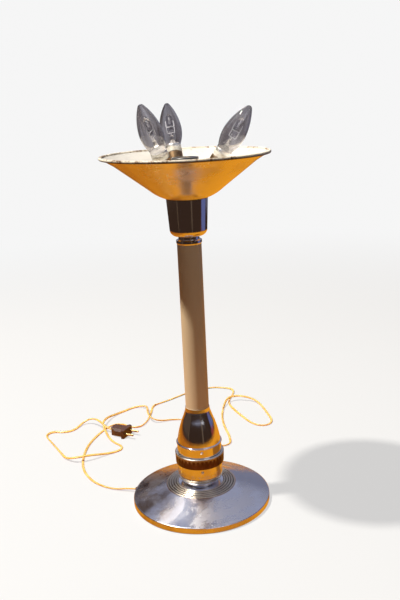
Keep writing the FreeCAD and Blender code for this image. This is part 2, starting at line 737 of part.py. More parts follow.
def cluster_body():
    body = turned_points([
        (ROD_R + SEAT, CLUSTER_Z),
        (CLUSTER_R, CLUSTER_Z),
        (CLUSTER_R, LID_Z - 1.0),
        (CLUSTER_R - 1.0, LID_Z),
        (ROD_R + SEAT, LID_Z),
    ])
    bores = []
    for azimuth in SOCKET_AZ:
        drill = Part.makeCylinder(NIPPLE_R + SEAT, NIPPLE_LEN + 1.0, Vector(0, 0, SOCKET_LOW - NIPPLE_LEN))
        bores.append(on_socket_axis(drill, azimuth))
    return body.cut(bores)


keep("cluster_body", cluster_body())
LID_TOP = LID_Z + LID_T
NUT_WELL_Z = LID_TOP - LID_NUT_H - SEAT
keep("cluster_lid", turned_points([
    (ROD_R + SEAT, LID_Z),
    (LID_R, LID_Z),
    (LID_R, LID_TOP - LID_EDGE),
    (LID_R - LID_EDGE, LID_TOP),
    (NUT_WELL_R, LID_TOP),
    (NUT_WELL_R, NUT_WELL_Z),
    (ROD_R + SEAT, NUT_WELL_Z),
]))

for number, azimuth in enumerate(SOCKET_AZ, start=1):
    keep(f"socket_nipple_{number}", on_socket_axis(socket_nipple(), azimuth))
    keep(f"socket_shell_{number}", on_socket_axis(socket_shell(), azimuth))
    keep(f"socket_liner_{number}", on_socket_axis(socket_liner(), azimuth))
    keep(f"socket_contact_{number}", on_socket_axis(socket_contact(), azimuth))
    keep(f"bulb_glass_{number}", on_socket_axis(glass(), azimuth))
    keep(f"bulb_cap_{number}", on_socket_axis(cap(), azimuth))
    keep(f"bulb_capsule_{number}", on_socket_axis(capsule(), azimuth))

# ---------------------------------------------------------------- centre rod, nuts, washer
ROD_LOW = PLATEAU_Z - SHEET - WASHER_T - NUT_H - 3.0
ROD_TOP = LID_TOP - 0.2
keep("centre_rod", tube(ROD_R, ROD_BORE_R, ROD_TOP - ROD_LOW, ROD_LOW))
keep("foot_washer", tube(WASHER_R, ROD_R + SEAT, WASHER_T, PLATEAU_Z - SHEET - WASHER_T))


def hexagon_nut(across_flats, height, z):
    radius = across_flats / math.sqrt(3)
    corners = [Vector(radius * math.cos(math.radians(60 * i)), radius * math.sin(math.radians(60 * i)), z)
               for i in range(6)]
    face = Part.Face(Part.makePolygon(corners + [corners[0]]))
    return face.extrude(Vector(0, 0, height)).cut(cylinder(ROD_R + SEAT, height, z))


keep("foot_nut", hexagon_nut(NUT_AF, NUT_H, PLATEAU_Z - SHEET - WASHER_T - NUT_H))
keep("cluster_nut", hexagon_nut(NUT_AF, LID_NUT_H, NUT_WELL_Z))

# ---------------------------------------------------------------- lead
LOW = LEAD_D / 2            # the lead's centre when it lies on the table
HIGH = LOW + 2 * LEAD_D     # and where it passes over another stretch
HIGHER = HIGH + LEAD_D + 1.0


def exit_point(radius, z):
    a = math.radians(BUSH_AZ)
    return (radius * math.cos(a), radius * math.sin(a), z)


def plug_point(along, across=0.0, z=PLUG_H / 2):
    """A point in the plug's own frame: along from its front face towards the pins, across to the left."""
    a = math.radians(PLUG_AZ)
    x = PLUG_AT[0] + along * math.cos(a) - across * math.sin(a)
    y = PLUG_AT[1] + along * math.sin(a) + across * math.cos(a)
    return (x, y, z)


LEAD_ROUTE = [
    exit_point(BASE_R + BUSH_OUT, BUSH_Z),
    exit_point(BASE_R + BUSH_OUT + 14, BUSH_Z),
    (-148, 38, LOW),
    (-169, 49, LOW),
    (-189, 67, LOW),
    (-204, 91, LOW),
    (-215, 118, LOW),
    (-220, 147, LOW),
    (-221, 177, LOW),
    (-219, 207, LOW),
    (-213, 236, LOW),
    (-204, 262, LOW),
    (-194, 285, LOW),
    (-182, 304, LOW),
    (-169, 312, LOW),
    (-155, 308, LOW),
    (-144, 297, LOW),
    (-132, 289, LOW),
    (-119, 292, LOW),
    (-111, 305, LOW),
    (-105, 324, LOW),
    (-101, 348, LOW),
    (-99, 373, LOW),
    (-98, 394, LOW),
    (-84, 410, LOW),
    (-63, 426, LOW),
    (-40, 447, LOW),
    (-14, 468, LOW),
    (15, 482, LOW),
    (42, 490, LOW),
    (62, 483, LOW),
    (77, 477, LOW),
    (84, 464, LOW),
    (83, 447, LOW),
    (77, 427, LOW),
    (70, 406, LOW),
    (70, 380, LOW),
    (80, 350, LOW),
    (93, 319, LOW),
    (105, 292, LOW),
    (115, 277, LOW),
    (128, 268, LOW),
    (142, 270, LOW),
    (151, 282, LOW),
    (152, 301, LOW),
    (148, 323, LOW),
    (143, 352, LOW),
    (136, 380, LOW + 1.0),
    (124, 396, HIGH - 4.0),
    (106, 403, HIGH),
    (86, 410, HIGH),
    (67, 400, HIGH),
    (58, 376, LOW + 2.0),
    (53, 348, LOW),
    (51, 318, LOW),
    (52, 287, LOW),
    (56, 256, LOW),
    (60, 233, LOW),
    (61, 213, LOW),
    (61, 198, LOW),
    (55, 188, LOW),
    (45, 185, LOW),
    (36, 191, LOW),
    (33, 203, LOW),
    (30, 220, LOW),
    (22, 243, LOW),
    (10, 270, LOW),
    (-7, 299, LOW),
    (-29, 318, LOW),
    (-55, 320, LOW),
    (-78, 311, LOW + 2.0),
    (-95, 312, HIGH - 2.0),
    (-105, 334, HIGH),
    (-107, 362, HIGH),
    (-111, 385, HIGH - 3.0),
    (-124, 397, LOW + 2.0),
    (-142, 393, LOW),
    (-159, 376, LOW),
    (-177, 358, LOW + 1.0),
    (-191, 333, HIGH - 3.0),
    (-198, 303, HIGH),
    (-191, 272, HIGH),
    (-181, 247, LOW + 2.0),
    (-168, 224, LOW),
    (-153, 210, LOW),
    (-149, 194, LOW),
    (-162, 182, LOW),
    (-182, 172, LOW + 2.0),
    (-206, 156, HIGH),
    (-233, 148, HIGH),
    (-253, 162, LOW + 2.0),
    (-265, 186, LOW),
    (-279, 212, LOW),
    (-292, 236, LOW),
    (-303, 256, LOW),
    (-309, 270, LOW),
    (-305, 283, LOW),
    (-293, 288, LOW),
    (-279, 284, LOW),
    (-263, 286, LOW),
    (-251, 300, LOW),
    (-243, 320, LOW + 2.0),
    (-228, 326, HIGH),
    (-210, 309, HIGHER),
    (-197, 287, HIGHER),
    plug_point(-PLUG_LEN - 13),
    plug_point(-PLUG_LEN),
]


def rounded_path(points):
    """Straight runs joined by tangent arcs, each as large as its two runs allow."""
    corners = [Vector(*p) for p in points]
    edges = []
    radii = []
    start = corners[0]
    for before, corner, after in zip(corners, corners[1:], corners[2:]):
        into = corner - before
        out = after - corner
        shorter = min(into.Length, out.Length)
        turn = into.getAngle(out)
        into.normalize()
        out.normalize()
        reach = 0.45 * shorter
        arc_start = corner - into * reach
        arc_end = corner + out * reach
        radius = reach / math.tan(turn / 2)
        bisector = out - into
        bisector.normalize()
        centre = corner + bisector * (radius / math.cos(turn / 2))
        arc_mid = centre - bisector * radius
        edges.append(Part.LineSegment(start, arc_start).toShape())
        edges.append(Part.Arc(arc_start, arc_mid, arc_end).toShape())
        radii.append((radius, math.degrees(turn), corner))
        start = arc_end
    edges.append(Part.LineSegment(start, corners[-1]).toShape())
    return Part.Wire(edges), radii


def lead():
    path, radii = rounded_path(LEAD_ROUTE)
    first = path.Edges[0].tangentAt(path.Edges[0].FirstParameter)
    circle = Part.Wire(Part.makeCircle(LEAD_D / 2, Vector(*LEAD_ROUTE[0]), first))
    shape = path.makePipe(Part.Face(circle))
    section = math.pi * LEAD_D ** 2 / 4
    print("lead length", round(path.Length, 1), "volume", round(shape.Volume, 1),
          "section x length", round(section * path.Length, 1))
    print("lead radii, smallest first:",
          " ".join(f"{r:.0f}({t:.0f})@{c.x:.0f},{c.y:.0f}" for r, t, c in sorted(radii, key=lambda q: q[0])[:14]))
    return shape


keep("power_lead", lead())


# ---------------------------------------------------------------- plug
def in_plug_frame(shape):
    copy = shape.copy()
    copy.rotate(Vector(0, 0, 0), Vector(0, 0, 1), PLUG_AZ)
    copy.translate(Vector(PLUG_AT[0], PLUG_AT[1], 0))
    return copy


def plug_body():
    """Two-pin plug: a tapering body with chamfered long edges and an eared front flange."""
    half = PLUG_W / 2
    rear = PLUG_REAR_W / 2
    outline = [
        (-PLUG_LEN, -rear),
        (-PLUG_LEN + 12, -half),
        (-PLUG_FLANGE_T - 3, -half),
        (-PLUG_FLANGE_T, -PLUG_FLANGE_W / 2),
        (0, -PLUG_FLANGE_W / 2 + 1.5),
        (0, PLUG_FLANGE_W / 2 - 1.5),
        (-PLUG_FLANGE_T, PLUG_FLANGE_W / 2),
        (-PLUG_FLANGE_T - 3, half),
        (-PLUG_LEN + 12, half),
        (-PLUG_LEN, rear),
    ]
    corners = [Vector(x, y, 0) for x, y in outline]
    body = Part.Face(Part.makePolygon(corners + [corners[0]])).extrude(Vector(0, 0, PLUG_H))
    long_edges = [e for e in body.Edges
                  if abs(e.Vertexes[0].Z - e.Vertexes[-1].Z) < 0.01 and e.BoundBox.XMax < -PLUG_FLANGE_T - 2.9
                  and e.BoundBox.YLength < 5 and e.BoundBox.XLength > 5]
    body = body.makeChamfer(PLUG_CHAMFER, long_edges)
    bores = [Part.makeCylinder(PIN_R + SEAT, 12, Vector(-12, s * PIN_SPACING / 2, PLUG_H / 2), Vector(1, 0, 0))
             for s in (-1, 1)]
    screw_well = Part.makeCylinder(2.3, 2.0, Vector(-PLUG_LEN * 0.52, 0, PLUG_H - 2.0))
    return body.cut(bores + [screw_well])


def plug_pins():
    pins = []
    for side in (-1, 1):
        y = side * PIN_SPACING / 2
        shaft = Part.makeCylinder(PIN_R, PIN_LEN + 9.0, Vector(-10, y, PLUG_H / 2), Vector(1, 0, 0))
        tip = Part.makeCone(PIN_R, PIN_R * 0.55, 1.2, Vector(PIN_LEN - 1.0, y, PLUG_H / 2), Vector(1, 0, 0))
        pins.append(shaft.fuse(tip))
    return pins


keep("plug_body", in_plug_frame(plug_body()))
keep("plug_pins", [in_plug_frame(p) for p in plug_pins()])
plug_screw = Part.makeCylinder(2.0, 1.4, Vector(-PLUG_LEN * 0.52, 0, PLUG_H - 2.0))
keep("plug_screw", in_plug_frame(plug_screw))

# ---------------------------------------------------------------- write
os.makedirs("parts", exist_ok=True)
for name, shape in nodes.items():
    shape.exportStep(f"parts/{name}.step")
    if not shape.isValid():
        print("not valid:", name)
print(len(nodes), "nodes")
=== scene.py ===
import json
import math

import bmesh
import bpy
from mathutils import Matrix, Vector


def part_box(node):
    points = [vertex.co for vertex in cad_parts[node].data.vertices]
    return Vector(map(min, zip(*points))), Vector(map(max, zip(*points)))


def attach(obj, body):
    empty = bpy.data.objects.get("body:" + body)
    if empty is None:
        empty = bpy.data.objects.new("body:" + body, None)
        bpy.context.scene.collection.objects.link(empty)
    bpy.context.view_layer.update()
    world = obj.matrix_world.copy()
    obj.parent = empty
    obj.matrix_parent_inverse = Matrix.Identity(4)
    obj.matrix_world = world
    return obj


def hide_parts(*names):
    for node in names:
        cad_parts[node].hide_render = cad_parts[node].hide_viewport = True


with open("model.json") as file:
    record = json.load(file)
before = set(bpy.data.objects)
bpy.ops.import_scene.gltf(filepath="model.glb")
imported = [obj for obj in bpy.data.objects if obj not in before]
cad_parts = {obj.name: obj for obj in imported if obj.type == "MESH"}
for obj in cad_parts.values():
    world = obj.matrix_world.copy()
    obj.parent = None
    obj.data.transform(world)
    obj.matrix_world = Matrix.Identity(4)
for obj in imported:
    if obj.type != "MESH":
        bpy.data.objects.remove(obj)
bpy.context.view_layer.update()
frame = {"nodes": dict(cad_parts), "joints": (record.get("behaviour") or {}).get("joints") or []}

MM = 0.001
ON_AXIS = 1e-7  # a radius below this, in metres, is a point on the axis


# ---------------------------------------------------------------- numbers and nodes
class Number:
    """A number in a material. Arithmetic with it adds Math nodes."""

    def __init__(self, shader, socket):
        self.shader = shader
        self.socket = socket

    def __add__(self, other):
        return self.shader.maths("ADD", self, other)

    def __radd__(self, other):
        return self.shader.maths("ADD", other, self)

    def __sub__(self, other):
        return self.shader.maths("SUBTRACT", self, other)

    def __rsub__(self, other):
        return self.shader.maths("SUBTRACT", other, self)

    def __mul__(self, other):
        return self.shader.maths("MULTIPLY", self, other)

    def __rmul__(self, other):
        return self.shader.maths("MULTIPLY", other, self)

    def __truediv__(self, other):
        return self.shader.maths("DIVIDE", self, other)

    def clamped(self):
        """The number, kept between 0 and 1."""
        return self.shader.maths("ADD", self, 0.0, clamp=True)

    def size(self):
        """The number without its sign."""
        return self.shader.maths("ABSOLUTE", self)

    def step(self, low, high):
        """0 below low, 1 above high and a soft rise between them."""
        node = self.shader.node("ShaderNodeMapRange", {"interpolation_type": "SMOOTHSTEP"},
                                Value=self, From_Min=low, From_Max=high)
        return Number(self.shader, node.outputs["Result"])

    def band(self, low, high, soft):
        """1 between low and high, 0 outside, soft at both edges."""
        return self.step(low - soft, low + soft) * (1.0 - self.step(high - soft, high + soft))


class Shader:
    """A material with a Principled shader, and short ways to add nodes to it."""

    def __init__(self, name, **constants):
        self.material = bpy.data.materials.new(name)
        self.material.use_nodes = True
        self.tree = self.material.node_tree
        self.surface = self.tree.nodes["Principled BSDF"]
        self.coordinates = self.node("ShaderNodeTexCoord")
        self.place = self.coordinates.outputs["Object"]
        for socket, value in constants.items():
            self.surface.inputs[socket.replace("_", " ")].default_value = value

    def put(self, socket, value):
        """Gives a socket a Number, another node's output, a colour or a plain value."""
        if isinstance(value, Number):
            self.tree.links.new(value.socket, socket)
        elif isinstance(value, bpy.types.NodeSocket):
            self.tree.links.new(value, socket)
        elif isinstance(value, tuple) and len(value) == 3 and socket.type == "RGBA":
            socket.default_value = (*value, 1.0)
        else:
            socket.default_value = value

    def node(self, kind, settings=None, **inputs):
        """Adds a node. Its settings are set first, and its inputs after them."""
        node = self.tree.nodes.new(kind)
        for key, value in (settings or {}).items():
            setattr(node, key, value)
        for name, value in inputs.items():
            self.put(node.inputs[name.replace("_", " ")], value)
        return node

    def maths(self, operation, *values, clamp=False):
        node = self.node("ShaderNodeMath", {"operation": operation, "use_clamp": clamp})
        for socket, value in zip(node.inputs, values):
            self.put(socket, value)
        return Number(self, node.outputs[0])

    def position(self):
        """The three coordinates of the point being shaded, in metres."""
        parts = self.node("ShaderNodeSeparateXYZ", Vector=self.place)
        return [Number(self, parts.outputs[axis]) for axis in "XYZ"]

    def radius(self):
        """The distance from the lamp's axis, in metres."""
        x, y, _ = self.position()
        return self.maths("SQRT", x * x + y * y)

    def noise(self, scale, detail, roughness=0.5, stretch=(1.0, 1.0, 1.0), warp=0.0):
        mapping = self.node("ShaderNodeMapping", Vector=self.place, Scale=stretch)
        node = self.node("ShaderNodeTexNoise", Vector=mapping.outputs["Vector"], Scale=scale,
                         Detail=detail, Roughness=roughness, Distortion=warp)
        return Number(self, node.outputs["Fac"])

    def cells(self, scale):
        """The distance from the middle of the nearest of many scattered cells, 0 at its middle."""
        node = self.node("ShaderNodeTexVoronoi", Vector=self.place, Scale=scale)
        return Number(self, node.outputs["Distance"])

    def mix(self, factor, low, high):
        """A colour between low and high."""
        node = self.node("ShaderNodeMix", {"data_type": "RGBA"})
        self.put(node.inputs["Factor"], factor)
        self.put(node.inputs[6], low)
        self.put(node.inputs[7], high)
        return node.outputs[2]

    def bump(self, height, distance, strength):
        node = self.node("ShaderNodeBump", Height=height, Distance=distance, Strength=strength)
        self.put(self.surface.inputs["Normal"], node.outputs["Normal"])

    def finish(self, colour, roughness, metallic=0.0):
        values = {"Base Color": colour, "Roughness": roughness, "Metallic": metallic}
        for name, value in values.items():
            self.put(self.surface.inputs[name], value)
        return self.material

    def shine(self, colour):
        """Gives off a colour."""
        self.put(self.surface.inputs["Emission Color"], colour)
        return self.material


# ---------------------------------------------------------------- meshes
def mesh_piece(name, body, *materials):
    """An empty mesh object with its materials, which rides on a body."""
    piece = bpy.data.objects.new(name, bpy.data.meshes.new(name))
    bpy.context.scene.collection.objects.link(piece)
    for material in materials:
        piece.data.materials.append(material)
    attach(piece, body)
    return piece


def fill(piece, mesh, sharp):
    """Puts a bmesh into a piece, smooth apart from edges that turn by more than sharp degrees."""
    bmesh.ops.recalc_face_normals(mesh, faces=mesh.faces)
    for face in mesh.faces:
        face.smooth = True
    for edge in mesh.edges:
        if len(edge.link_faces) == 2 and edge.calc_face_angle(0.0) > math.radians(sharp):
            edge.smooth = False
    mesh.to_mesh(piece.data)
    mesh.free()
    return piece


def ringed(mesh, rings, closed=False):
    """Joins rings of points with faces. A ring of one point closes the form there."""
    rows = [[mesh.verts.new(point) for point in ring] for ring in rings]
    pairs = list(zip(rows, rows[1:]))
    if closed:
        pairs.append((rows[-1], rows[0]))
    for low, high in pairs:
        count = max(len(low), len(high))
        for i in range(count):
            j = (i + 1) % count
            corners = [low[i % len(low)], low[j % len(low)],
                       high[j % len(high)], high[i % len(high)]]
            corners = list(dict.fromkeys(corners))
            if len(corners) > 2:
                mesh.faces.new(corners)
    return rows


def turned_rings(profile, count):
    """Rings about +Z from (radius, height) points in metres. A radius of 0 is one point."""
    rings = []
    for r, z in profile:
        if r < ON_AXIS:
            rings.append([(0.0, 0.0, z)])
        else:
            angles = [2 * math.pi * i / count for i in range(count)]
            rings.append([(r * math.cos(a), r * math.sin(a), z) for a in angles])
    return rings


# ---------------------------------------------------------------- camera, floor and lights
CAMERA_PLACE = (0.0, -1.14938, 0.65687)
CAMERA_LENS = 45.43
CAMERA_FILM = 36.0
CAMERA_PITCH = 15.184  # degrees, downwards
CAMERA_YAW = 0.624
CAMERA_ROLL = -2.689


def make_camera():
    """The photograph's camera, from the ellipses of the foot, the column and the rim."""
    data = bpy.data.cameras.new("camera")
    data.sensor_fit = "VERTICAL"
    data.sensor_height = CAMERA_FILM
    data.lens = CAMERA_LENS
    camera = bpy.data.objects.new("camera", data)
    bpy.context.scene.collection.objects.link(camera)
    pitch, yaw, roll = (math.radians(angle) for angle in (CAMERA_PITCH, CAMERA_YAW, CAMERA_ROLL))
    forward = Vector((math.sin(yaw) * math.cos(pitch), math.cos(yaw) * math.cos(pitch),
                      -math.sin(pitch)))
    level = Vector((math.cos(yaw), -math.sin(yaw), 0.0))
    upright = level.cross(forward)
    right = math.cos(roll) * level + math.sin(roll) * upright
    up = math.cos(roll) * upright - math.sin(roll) * level
    turn = Matrix((right, up, -forward)).transposed().to_4x4()
    camera.matrix_world = Matrix.Translation(CAMERA_PLACE) @ turn
    bpy.context.scene.camera = camera


def stage_mesh(name, mesh, material):
    """A piece of the surroundings, which isn't part of the lamp."""
    piece = bpy.data.objects.new(name, bpy.data.meshes.new(name))
    bpy.context.scene.collection.objects.link(piece)
    mesh.to_mesh(piece.data)
    mesh.free()
    for face in piece.data.polygons:
        face.use_smooth = True
    piece.data.materials.append(material)
    return piece


def glow_shader(name, strength=1.0):
    """A black surface that reflects nothing and only gives off light."""
    return Shader(name, Base_Color=(0.0, 0.0, 0.0, 1.0), Emission_Strength=strength,
                  Specular_IOR_Level=0.0)


def glow(name, colour, strength=1.0):
    return glow_shader(name, strength).shine(colour)


def only_in_reflections(piece):
    piece.visible_camera = False
    piece.visible_diffuse = False
    piece.visible_shadow = False
    piece.visible_transmission = False
    return piece


def card(name, azimuths, heights, distance, colour):
    """Part of a drum round the lamp, seen only in its reflections. Degrees and metres."""
    mesh = bmesh.new()
    steps = 32
    first, last = azimuths
    angles = [math.radians(first + (last - first) * i / steps) for i in range(steps + 1)]
    low, high = [[mesh.verts.new((distance * math.cos(a), distance * math.sin(a), height))
                  for a in angles] for height in heights]
    for i in range(steps):
        mesh.faces.new((low[i], low[i + 1], high[i + 1], high[i]))
    only_in_reflections(stage_mesh(name, mesh, glow(name, colour)))


def ground_disc(name, radius, height, material):
    """A flat disc at a height, seen only in reflections."""
    mesh = bmesh.new()
    bmesh.ops.create_circle(mesh, cap_ends=True, segments=96, radius=radius)
    for vertex in mesh.verts:
        vertex.co.z = height
    return only_in_reflections(stage_mesh(name, mesh, material))


DARK_EARTH = (0.040, 0.022, 0.015)
STUDIO_WHITE = (0.92, 0.92, 0.92)
EARTH_HALF_X = 1.15  # half widths of the warm ground, in metres
EARTH_HALF_Y = 1.55
EARTH_BACK = 0.78  # metres that its middle lies behind the lamp
SHADOW_X = 0.993  # the direction in which the lamp's shadow falls on the warm ground
SHADOW_Y = 0.115
BOWL_SHADOW_AT = 0.28  # metres from the lamp's axis to the middle of the bowl's shadow


def warm_earth():
    """Sunlit earth, darker to the left and in the lamp's own shadow."""
    shader = glow_shader("warm_ground")
    unit_x, unit_y, _ = shader.position()
    x = unit_x * EARTH_HALF_X
    y = unit_y * EARTH_HALF_Y + EARTH_BACK
    along = x * SHADOW_X + y * SHADOW_Y
    across = (y * SHADOW_X - x * SHADOW_Y).size()
    stem = (1.0 - across.step(0.022, 0.040)) * along.step(0.08, 0.12)
    beyond = along - BOWL_SHADOW_AT
    bowl = 1.0 - shader.maths("SQRT", beyond * beyond + across * across).step(0.125, 0.150)
    shaded = shader.maths("MAXIMUM", stem * (1.0 - along.step(0.25, 0.30)), bowl)
    leaves = shader.noise(3.2, 4.0, 0.6)
    sunlit = shader.mix((leaves - x * 0.55).step(0.30, 0.95),
                        (0.92, 0.355, 0.022), (0.46, 0.13, 0.012))
    return shader.shine(shader.mix(shaded * 0.72, sunlit, (0.12, 0.035, 0.014)))


def garden():
    """What the clear glass of the bulbs looks through to: soft upright shapes, brown to grey."""
    mesh = bmesh.new()
    bmesh.ops.create_grid(mesh, x_segments=1, y_segments=1, size=3.0)
    upright = Matrix.Rotation(math.radians(90.0), 4, "X")
    mesh.transform(Matrix.Translation((0.0, 2.5, 0.0)) @ upright)
    shader = glow_shader("garden")
    shapes = shader.noise(5.0, 3.0, 0.55, stretch=(1.0, 1.0, 0.4))
    low = shader.mix(shapes.step(0.38, 0.50), (0.045, 0.028, 0.022), (0.22, 0.20, 0.215))
    seen = shader.shine(shader.mix(shapes.step(0.52, 0.66), low, (0.46, 0.46, 0.50)))
    piece = only_in_reflections(stage_mesh("garden", mesh, seen))
    piece.visible_glossy = False
    piece.visible_transmission = True


def seen_by(tree, path, kind, others, colour):
    """Mixes a colour into the world for one kind of ray."""
    mix = tree.nodes.new("ShaderNodeMix")
    mix.data_type = "RGBA"
    tree.links.new(path.outputs[kind], mix.inputs["Factor"])
    if isinstance(others, tuple):
        mix.inputs[6].default_value = (*others, 1.0)
    else:
        tree.links.new(others, mix.inputs[6])
    mix.inputs[7].default_value = (*colour, 1.0)
    return mix.outputs[2]


def make_world():
    """A white studio to the camera, dim to matt surfaces, grey-blue to chrome and grey to glass."""
    world = bpy.data.worlds.new("world")
    bpy.context.scene.world = world
    world.use_nodes = True
    tree = world.node_tree
    background = tree.nodes["Background"]
    path = tree.nodes.new("ShaderNodeLightPath")
    colour = seen_by(tree, path, "Is Glossy Ray", (0.085, 0.075, 0.070), (0.34, 0.36, 0.48))
    colour = seen_by(tree, path, "Is Transmission Ray", colour, (0.42, 0.41, 0.43))
    colour = seen_by(tree, path, "Is Camera Ray", colour, STUDIO_WHITE)
    tree.links.new(colour, background.inputs["Color"])
    background.inputs["Strength"].default_value = 1.0


def floor_paint():
    """Pale floor, bright all over and fading to the studio's white far from the lamp."""
    shader = Shader("floor_pale", Specular_IOR_Level=0.0, Emission_Strength=1.0)
    far = shader.radius().step(0.9, 2.6)
    shader.shine(shader.mix(far, (0.62, 0.615, 0.61), STUDIO_WHITE))
    return shader.finish(shader.mix(far, (0.22, 0.22, 0.22), (0.0, 0.0, 0.0)), 0.9)


# Each card's name, azimuths in degrees, heights and distance in metres, and colour.
CARDS = (
    ("dark_wall", (-180.0, 180.0), (0.0, 1.1), 3.0, DARK_EARTH),
    ("brown_wall", (118.0, 205.0), (0.0, 2.6), 2.9, (0.085, 0.055, 0.040)),
    ("grey_wall", (15.0, 100.0), (0.0, 1.3), 2.8, (0.20, 0.21, 0.29)),
    ("blue_cloth", (-6.0, 30.0), (0.13, 0.62), 1.10, (0.12, 0.14, 0.33)),
    ("red_cloth", (-12.0, 12.0), (0.01, 0.13), 1.08, (0.30, 0.05, 0.035)),
    ("post_right", (-69.0, -66.0), (0.0, 0.75), 1.6, (0.26, 0.19, 0.13)),
    ("post_left", (-151.0, -148.5), (0.0, 0.75), 1.6, (0.20, 0.14, 0.09)),
)


def make_stage():
    """The floor is seen by the camera alone. Chrome sees the warm ground and the cards, and matt
    paint sees the bounce disc."""
    mesh = bmesh.new()
    bmesh.ops.create_grid(mesh, x_segments=1, y_segments=1, size=30.0)
    floor = stage_mesh("floor", mesh, floor_paint())
    floor.visible_diffuse = False
    floor.visible_glossy = False
    floor.visible_transmission = False
    ground_disc("dark_ground", 6.0, -0.0008, glow("dark_ground", DARK_EARTH))
    warm = ground_disc("warm_ground", 1.0, -0.0004, warm_earth())
    warm.scale = (EARTH_HALF_X, EARTH_HALF_Y, 1.0)
    warm.location = (0.0, EARTH_BACK, 0.0)
    bounce = ground_disc("bounce", 0.42, -0.0002, glow("bounce", (1.0, 0.36, 0.05), 0.8))
    bounce.visible_glossy = False
    bounce.visible_diffuse = True
    for row in CARDS:
        card(*row)
    cloud = ground_disc("white_cloud", 0.50, 2.6, glow("white_cloud", (1.0, 1.0, 1.03), 3.2))
    cloud.location = (-0.45, 2.1, 0.0)
    garden()
    make_world()


def area_light(name, place, target, size, power, colour):
    """A round lamp at a place, which points at a target."""
    data = bpy.data.lights.new(name, "AREA")
    data.shape = "DISK"
    data.size = size
    data.energy = power
    data.color = colour
    light = bpy.data.objects.new(name, data)
    bpy.context.scene.collection.objects.link(light)
    light.location = place
    aim = Vector(target) - Vector(place)
    light.rotation_euler = aim.to_track_quat("-Z", "Y").to_euler()
    return light


def make_lights():
    """A small soft key high on the left and a weak fill from the right."""
    key = area_light("key", (-1.738, -0.20, 3.95), (0.0, 0.0, 0.35), 0.20, 290.0,
                     (1.0, 0.965, 0.90))
    key.visible_transmission = False
    area_light("fill", (1.6, -2.2, 1.6), (0.0, 0.0, 0.3), 1.6, 6.0, (0.92, 0.95, 1.0))


# ---------------------------------------------------------------- materials
def chrome(name, haze=0.10, wear=0.4, waves=0.25):
    """Old spun chrome: faint waves, fine turning lines, hazy patches and small dark pits."""
    shader = Shader(name)
    patches = shader.noise(14.0, 6.0, 0.62)
    grain = shader.noise(420.0, 3.0, 0.6)
    pits = shader.cells(330.0)
    pitted = (1.0 - pits.step(0.05, 0.16)) * shader.noise(23.0, 3.0).step(0.52, 0.66) * wear
    clean = (0.80, 0.79, 0.78)
    dulled = (clean[0] * 0.80, clean[1] * 0.79, clean[2] * 0.80)
    worn = shader.mix(patches.step(0.30, 0.75) * 0.35, clean, dulled)
    colour = shader.mix(pitted, worn, (0.10, 0.065, 0.04))
    _, _, height = shader.position()
    radius = shader.radius()
    lines = shader.maths("SINE", (radius + height) * 9000.0)
    shader.bump(lines * 0.10 + patches * waves + grain * 0.05 - pitted, 0.00012, 0.35)
    rough = haze * 0.55 + patches.step(0.35, 0.8) * haze + grain * haze * 0.4 + pitted * 0.5
    return shader.finish(colour, rough.clamped(), 1.0)


RIDGES_IN = 0.0375  # radii of the foot's turned ridges and their pitch, in metres
RIDGES_OUT = 0.0580
RIDGE_PITCH = 0.0041


def disc_chrome():
    """The foot's chrome: cloudy worn patches, a painted brown reflection to the left, and brassy
    turned ridges with painted shade in the grooves between them.
    """
    shader = Shader("disc_chrome")
    x, _, _ = shader.position()
    radius = shader.radius()
    cloud = shader.noise(11.0, 7.0, 0.68, warp=0.6)
    grain = shader.noise(760.0, 2.0, 0.7)
    fine = shader.noise(2200.0, 2.0, 0.6)
    spots = (1.0 - shader.cells(520.0).step(0.06, 0.22)) * cloud.step(0.46, 0.60)
    worn = cloud.step(0.38, 0.62)
    silver = shader.mix(worn * 0.6, (0.78, 0.79, 0.84), (0.60, 0.57, 0.57))
    # Painted reflection: a brown patch on the left of the foot, standing in for something brown
    # that the chrome reflects.
    brown = (cloud * 0.06 - x - 0.055).step(0.0, 0.045)
    brown = brown * shader.noise(26.0, 5.0, 0.65).step(0.36, 0.62)
    silver = shader.mix(brown * 0.7, silver, (0.36, 0.25, 0.17))
    colour = shader.mix(spots * 0.55, silver, (0.20, 0.14, 0.10))
    rough = (0.13 + worn * 0.13 + grain * worn * 0.14 + spots * 0.3).clamped()
    steps = radius.band(RIDGES_IN, RIDGES_OUT, 0.0004)
    turns = (RIDGES_OUT - radius) / RIDGE_PITCH
    groove = 1.0 - (shader.maths("FRACT", turns) - 0.5).size().step(0.34, 0.47)
    gold = shader.mix(cloud.step(0.3, 0.7), (0.66, 0.57, 0.42), (0.52, 0.42, 0.29))
    colour = shader.mix(steps * 0.8, colour, gold)
    # Painted shade: a thin dark ring in the groove at the foot of each ridge.
    colour = shader.mix(steps * (1.0 - groove) * 0.9, colour, (0.06, 0.035, 0.02))
    rough = (rough + steps * 0.06).clamped()
    lines = shader.maths("SINE", radius * 7000.0)
    shader.bump(lines * 0.06 + grain * worn * 0.9 + fine * 0.25 - spots * 0.8, 0.00010, 0.5)
    return shader.finish(colour, rough, 1.0)


def enamel():
    """White enamel in the bowl, with faint pinkish brown stains and streaks."""
    shader = Shader("enamel")
    broad = shader.noise(16.0, 5.0, 0.6)
    stains = shader.noise(46.0, 6.0, 0.66, warp=1.2).step(0.60, 0.72)
    specks = 1.0 - shader.cells(300.0).step(0.03, 0.10)
    colour = shader.mix(broad.step(0.3, 0.75) * 0.5, (0.66, 0.63, 0.575), (0.58, 0.53, 0.46))
    colour = shader.mix(stains * 0.7, colour, (0.42, 0.25, 0.18))
    colour = shader.mix(specks * 0.6, colour, (0.25, 0.15, 0.09))
    shader.bump(broad * 0.4 - specks * 0.6, 0.00015, 0.3)
    return shader.finish(colour, (0.28 + broad * 0.2 + stains * 0.15).clamped())


